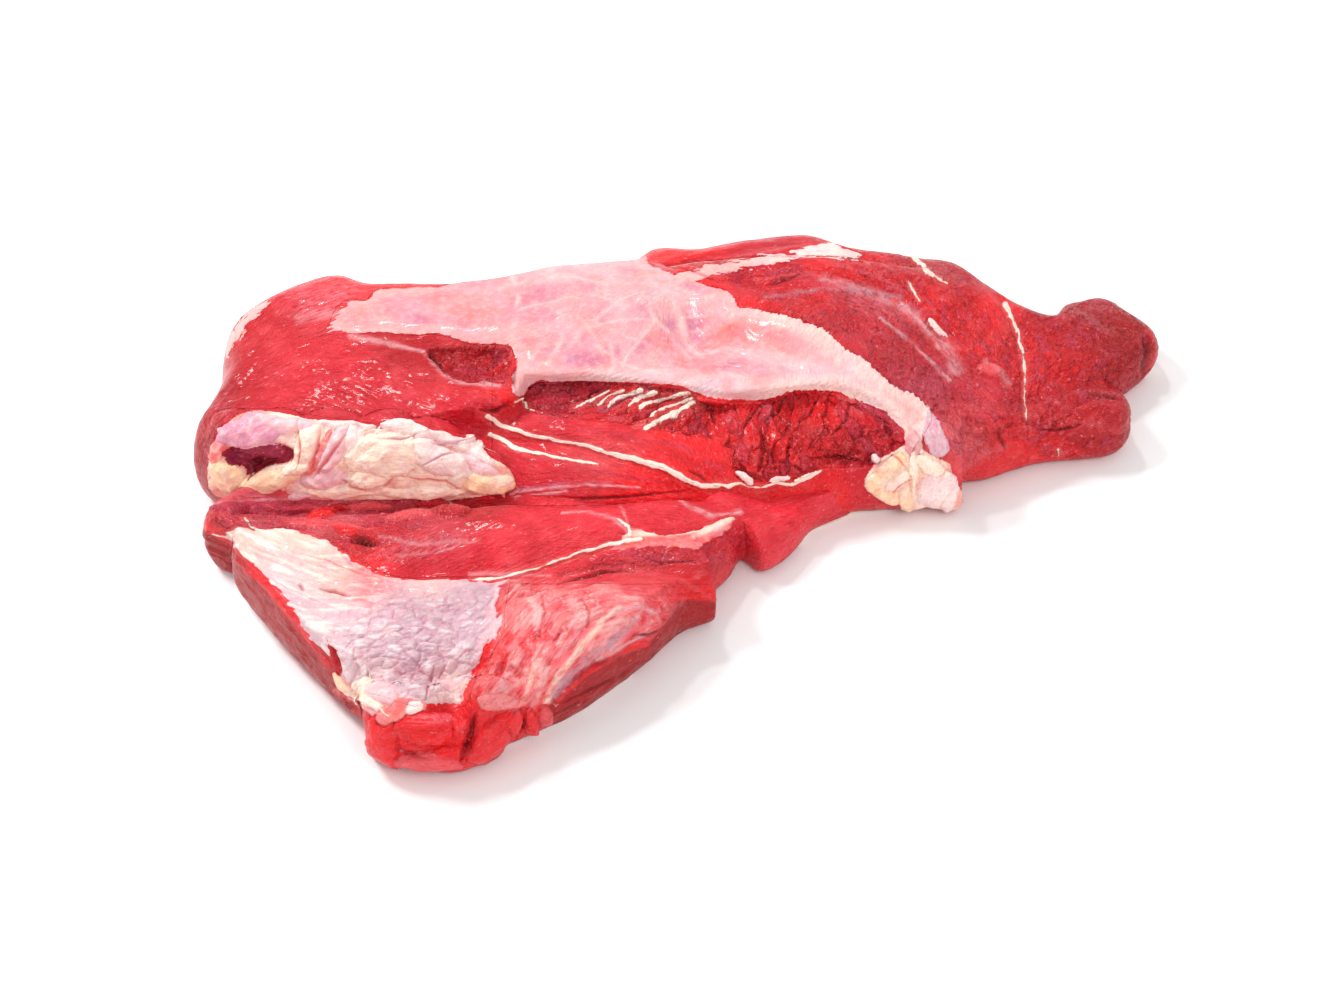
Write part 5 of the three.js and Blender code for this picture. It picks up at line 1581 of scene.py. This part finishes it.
BODY_PIECES = ("lean_left", "lean_right", "lean_tail", "skin_sheet", "left_fat", "open_meat",
               "lean_front")
FLAP_PIECES = ("flap_top", "flap_tip", "flap_front", "silverskin")
# Where the pieces part, in photo pixels
RIB_MUSCLE_END, CORD_END, FAT_TOP, FAT_SIDES = 492, 718, 408, (200, 524)
FLAP_CORD, TIP_END = 584, 470


def body_regions(s):
    """Fine pieces of the back body by what lies there."""
    x, y = s.px.T
    front_cord, tail_cord = np.array(BODY_CORDS[0][0]), np.array(BODY_CORDS[3][0])
    tail = x > np.interp(y, tail_cord[:, 1], tail_cord[:, 0])
    front = y > np.interp(x, front_cord[:, 0], front_cord[:, 1])
    number = np.where(x < RIB_MUSCLE_END, 0, np.where(tail, 2, np.where(front & (x < CORD_END), 6, 1)))
    number = np.where(inside(s.q, SKIN) > -0.6, 3, number)
    fat = (y > FAT_TOP) & (x > FAT_SIDES[0]) & (x < FAT_SIDES[1]) & (s.cover > -4)
    number = np.where(fat, 4, number)
    number = np.where((inside(s.q, OPEN_MEAT) > 0) & (number != 3), 5, number)
    return BODY_PIECES, number


def flap_regions(s):
    """Fine pieces of the flap by what lies there."""
    x, y = s.px.T
    number = np.where(y < FLAP_CORD, 0, np.where(x < TIP_END, 1, 2))
    number = np.where(inside(s.q, SILVERSKIN) > -2.0, 3, number)
    return FLAP_PIECES, number


under_body = make_lobe(
    (BODY_BACK_EDGE, BODY_FRONT_EDGE), BODY_SPINE, (160, 80, 80), body_top, (60, 20, 6, 5), BODY_GRAIN,
    BODY_TONES, dress_body, 1000, "lean_back", body_regions, raw_beef)
make_lobe(
    (FLAP_BACK_EDGE, FLAP_FRONT_EDGE), FLAP_SPINE, (160, 46, 56), flap_top, (70, 18, 6, 5), FLAP_GRAIN,
    FLAP_TONES, dress_flap, 2000, "lean_flap", flap_regions, raw_beef)
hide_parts("beef_slab")

# Floor, light and camera

scene = bpy.context.scene
scene.view_settings.view_transform = "Standard"
scene.view_settings.look = "None"

FLOOR_HALF = 4.0
FLOOR_GAP = 0.0003  # keeps the floor just clear of the underside
floor_mesh = bpy.data.meshes.new("floor")
floor_mesh.from_pydata([(-FLOOR_HALF, -FLOOR_HALF, 0), (FLOOR_HALF, -FLOOR_HALF, 0),
                        (FLOOR_HALF, FLOOR_HALF, 0), (-FLOOR_HALF, FLOOR_HALF, 0)], [], [(0, 1, 2, 3)])
floor = bpy.data.objects.new("floor", floor_mesh)
scene.collection.objects.link(floor)
floor.location.z = -FLOOR_GAP
white = Finish("floor_white")
white.shader.inputs["Base Color"].default_value = (0.95, 0.95, 0.95, 1)
white.shader.inputs["Roughness"].default_value = 0.9
white.shader.inputs["Specular IOR Level"].default_value = 0.1
floor_mesh.materials.append(white.material)

world = bpy.data.worlds.new("studio")
world.use_nodes = True
world.node_tree.nodes["Background"].inputs["Color"].default_value = (1, 1, 1, 1)
world.node_tree.nodes["Background"].inputs["Strength"].default_value = 0.70
scene.world = world

LAMPS = [  # name, place, size, watts
    ("key", (-0.95, 0.45, 1.15), 0.45, 16.0),
    ("glint", (-0.30, 0.90, 1.35), 0.14, 5.0),
    ("fill", (0.7, -1.1, 1.1), 1.0, 9.0)]
for name, place, size, watts in LAMPS:
    light = bpy.data.lights.new(name, "AREA")
    light.shape, light.size, light.energy = "DISK", size, watts
    lamp = bpy.data.objects.new(name, light)
    scene.collection.objects.link(lamp)
    lamp.location = place
    lamp.rotation_mode = "QUATERNION"
    lamp.rotation_quaternion = (-lamp.location).to_track_quat("-Z", "Y")

camera = bpy.data.cameras.new("photo_camera")
camera.lens, camera.sensor_width = LENS, SENSOR
camera.clip_start, camera.clip_end = 0.05, 20.0
eye = bpy.data.objects.new("photo_camera", camera)
scene.collection.objects.link(eye)
axes = Matrix((tuple(RIGHT), tuple(UP), tuple(-FORWARD))).transposed().to_4x4()
axes.translation = EYE / METRES_TO_MM
eye.matrix_world = axes
scene.camera = eye
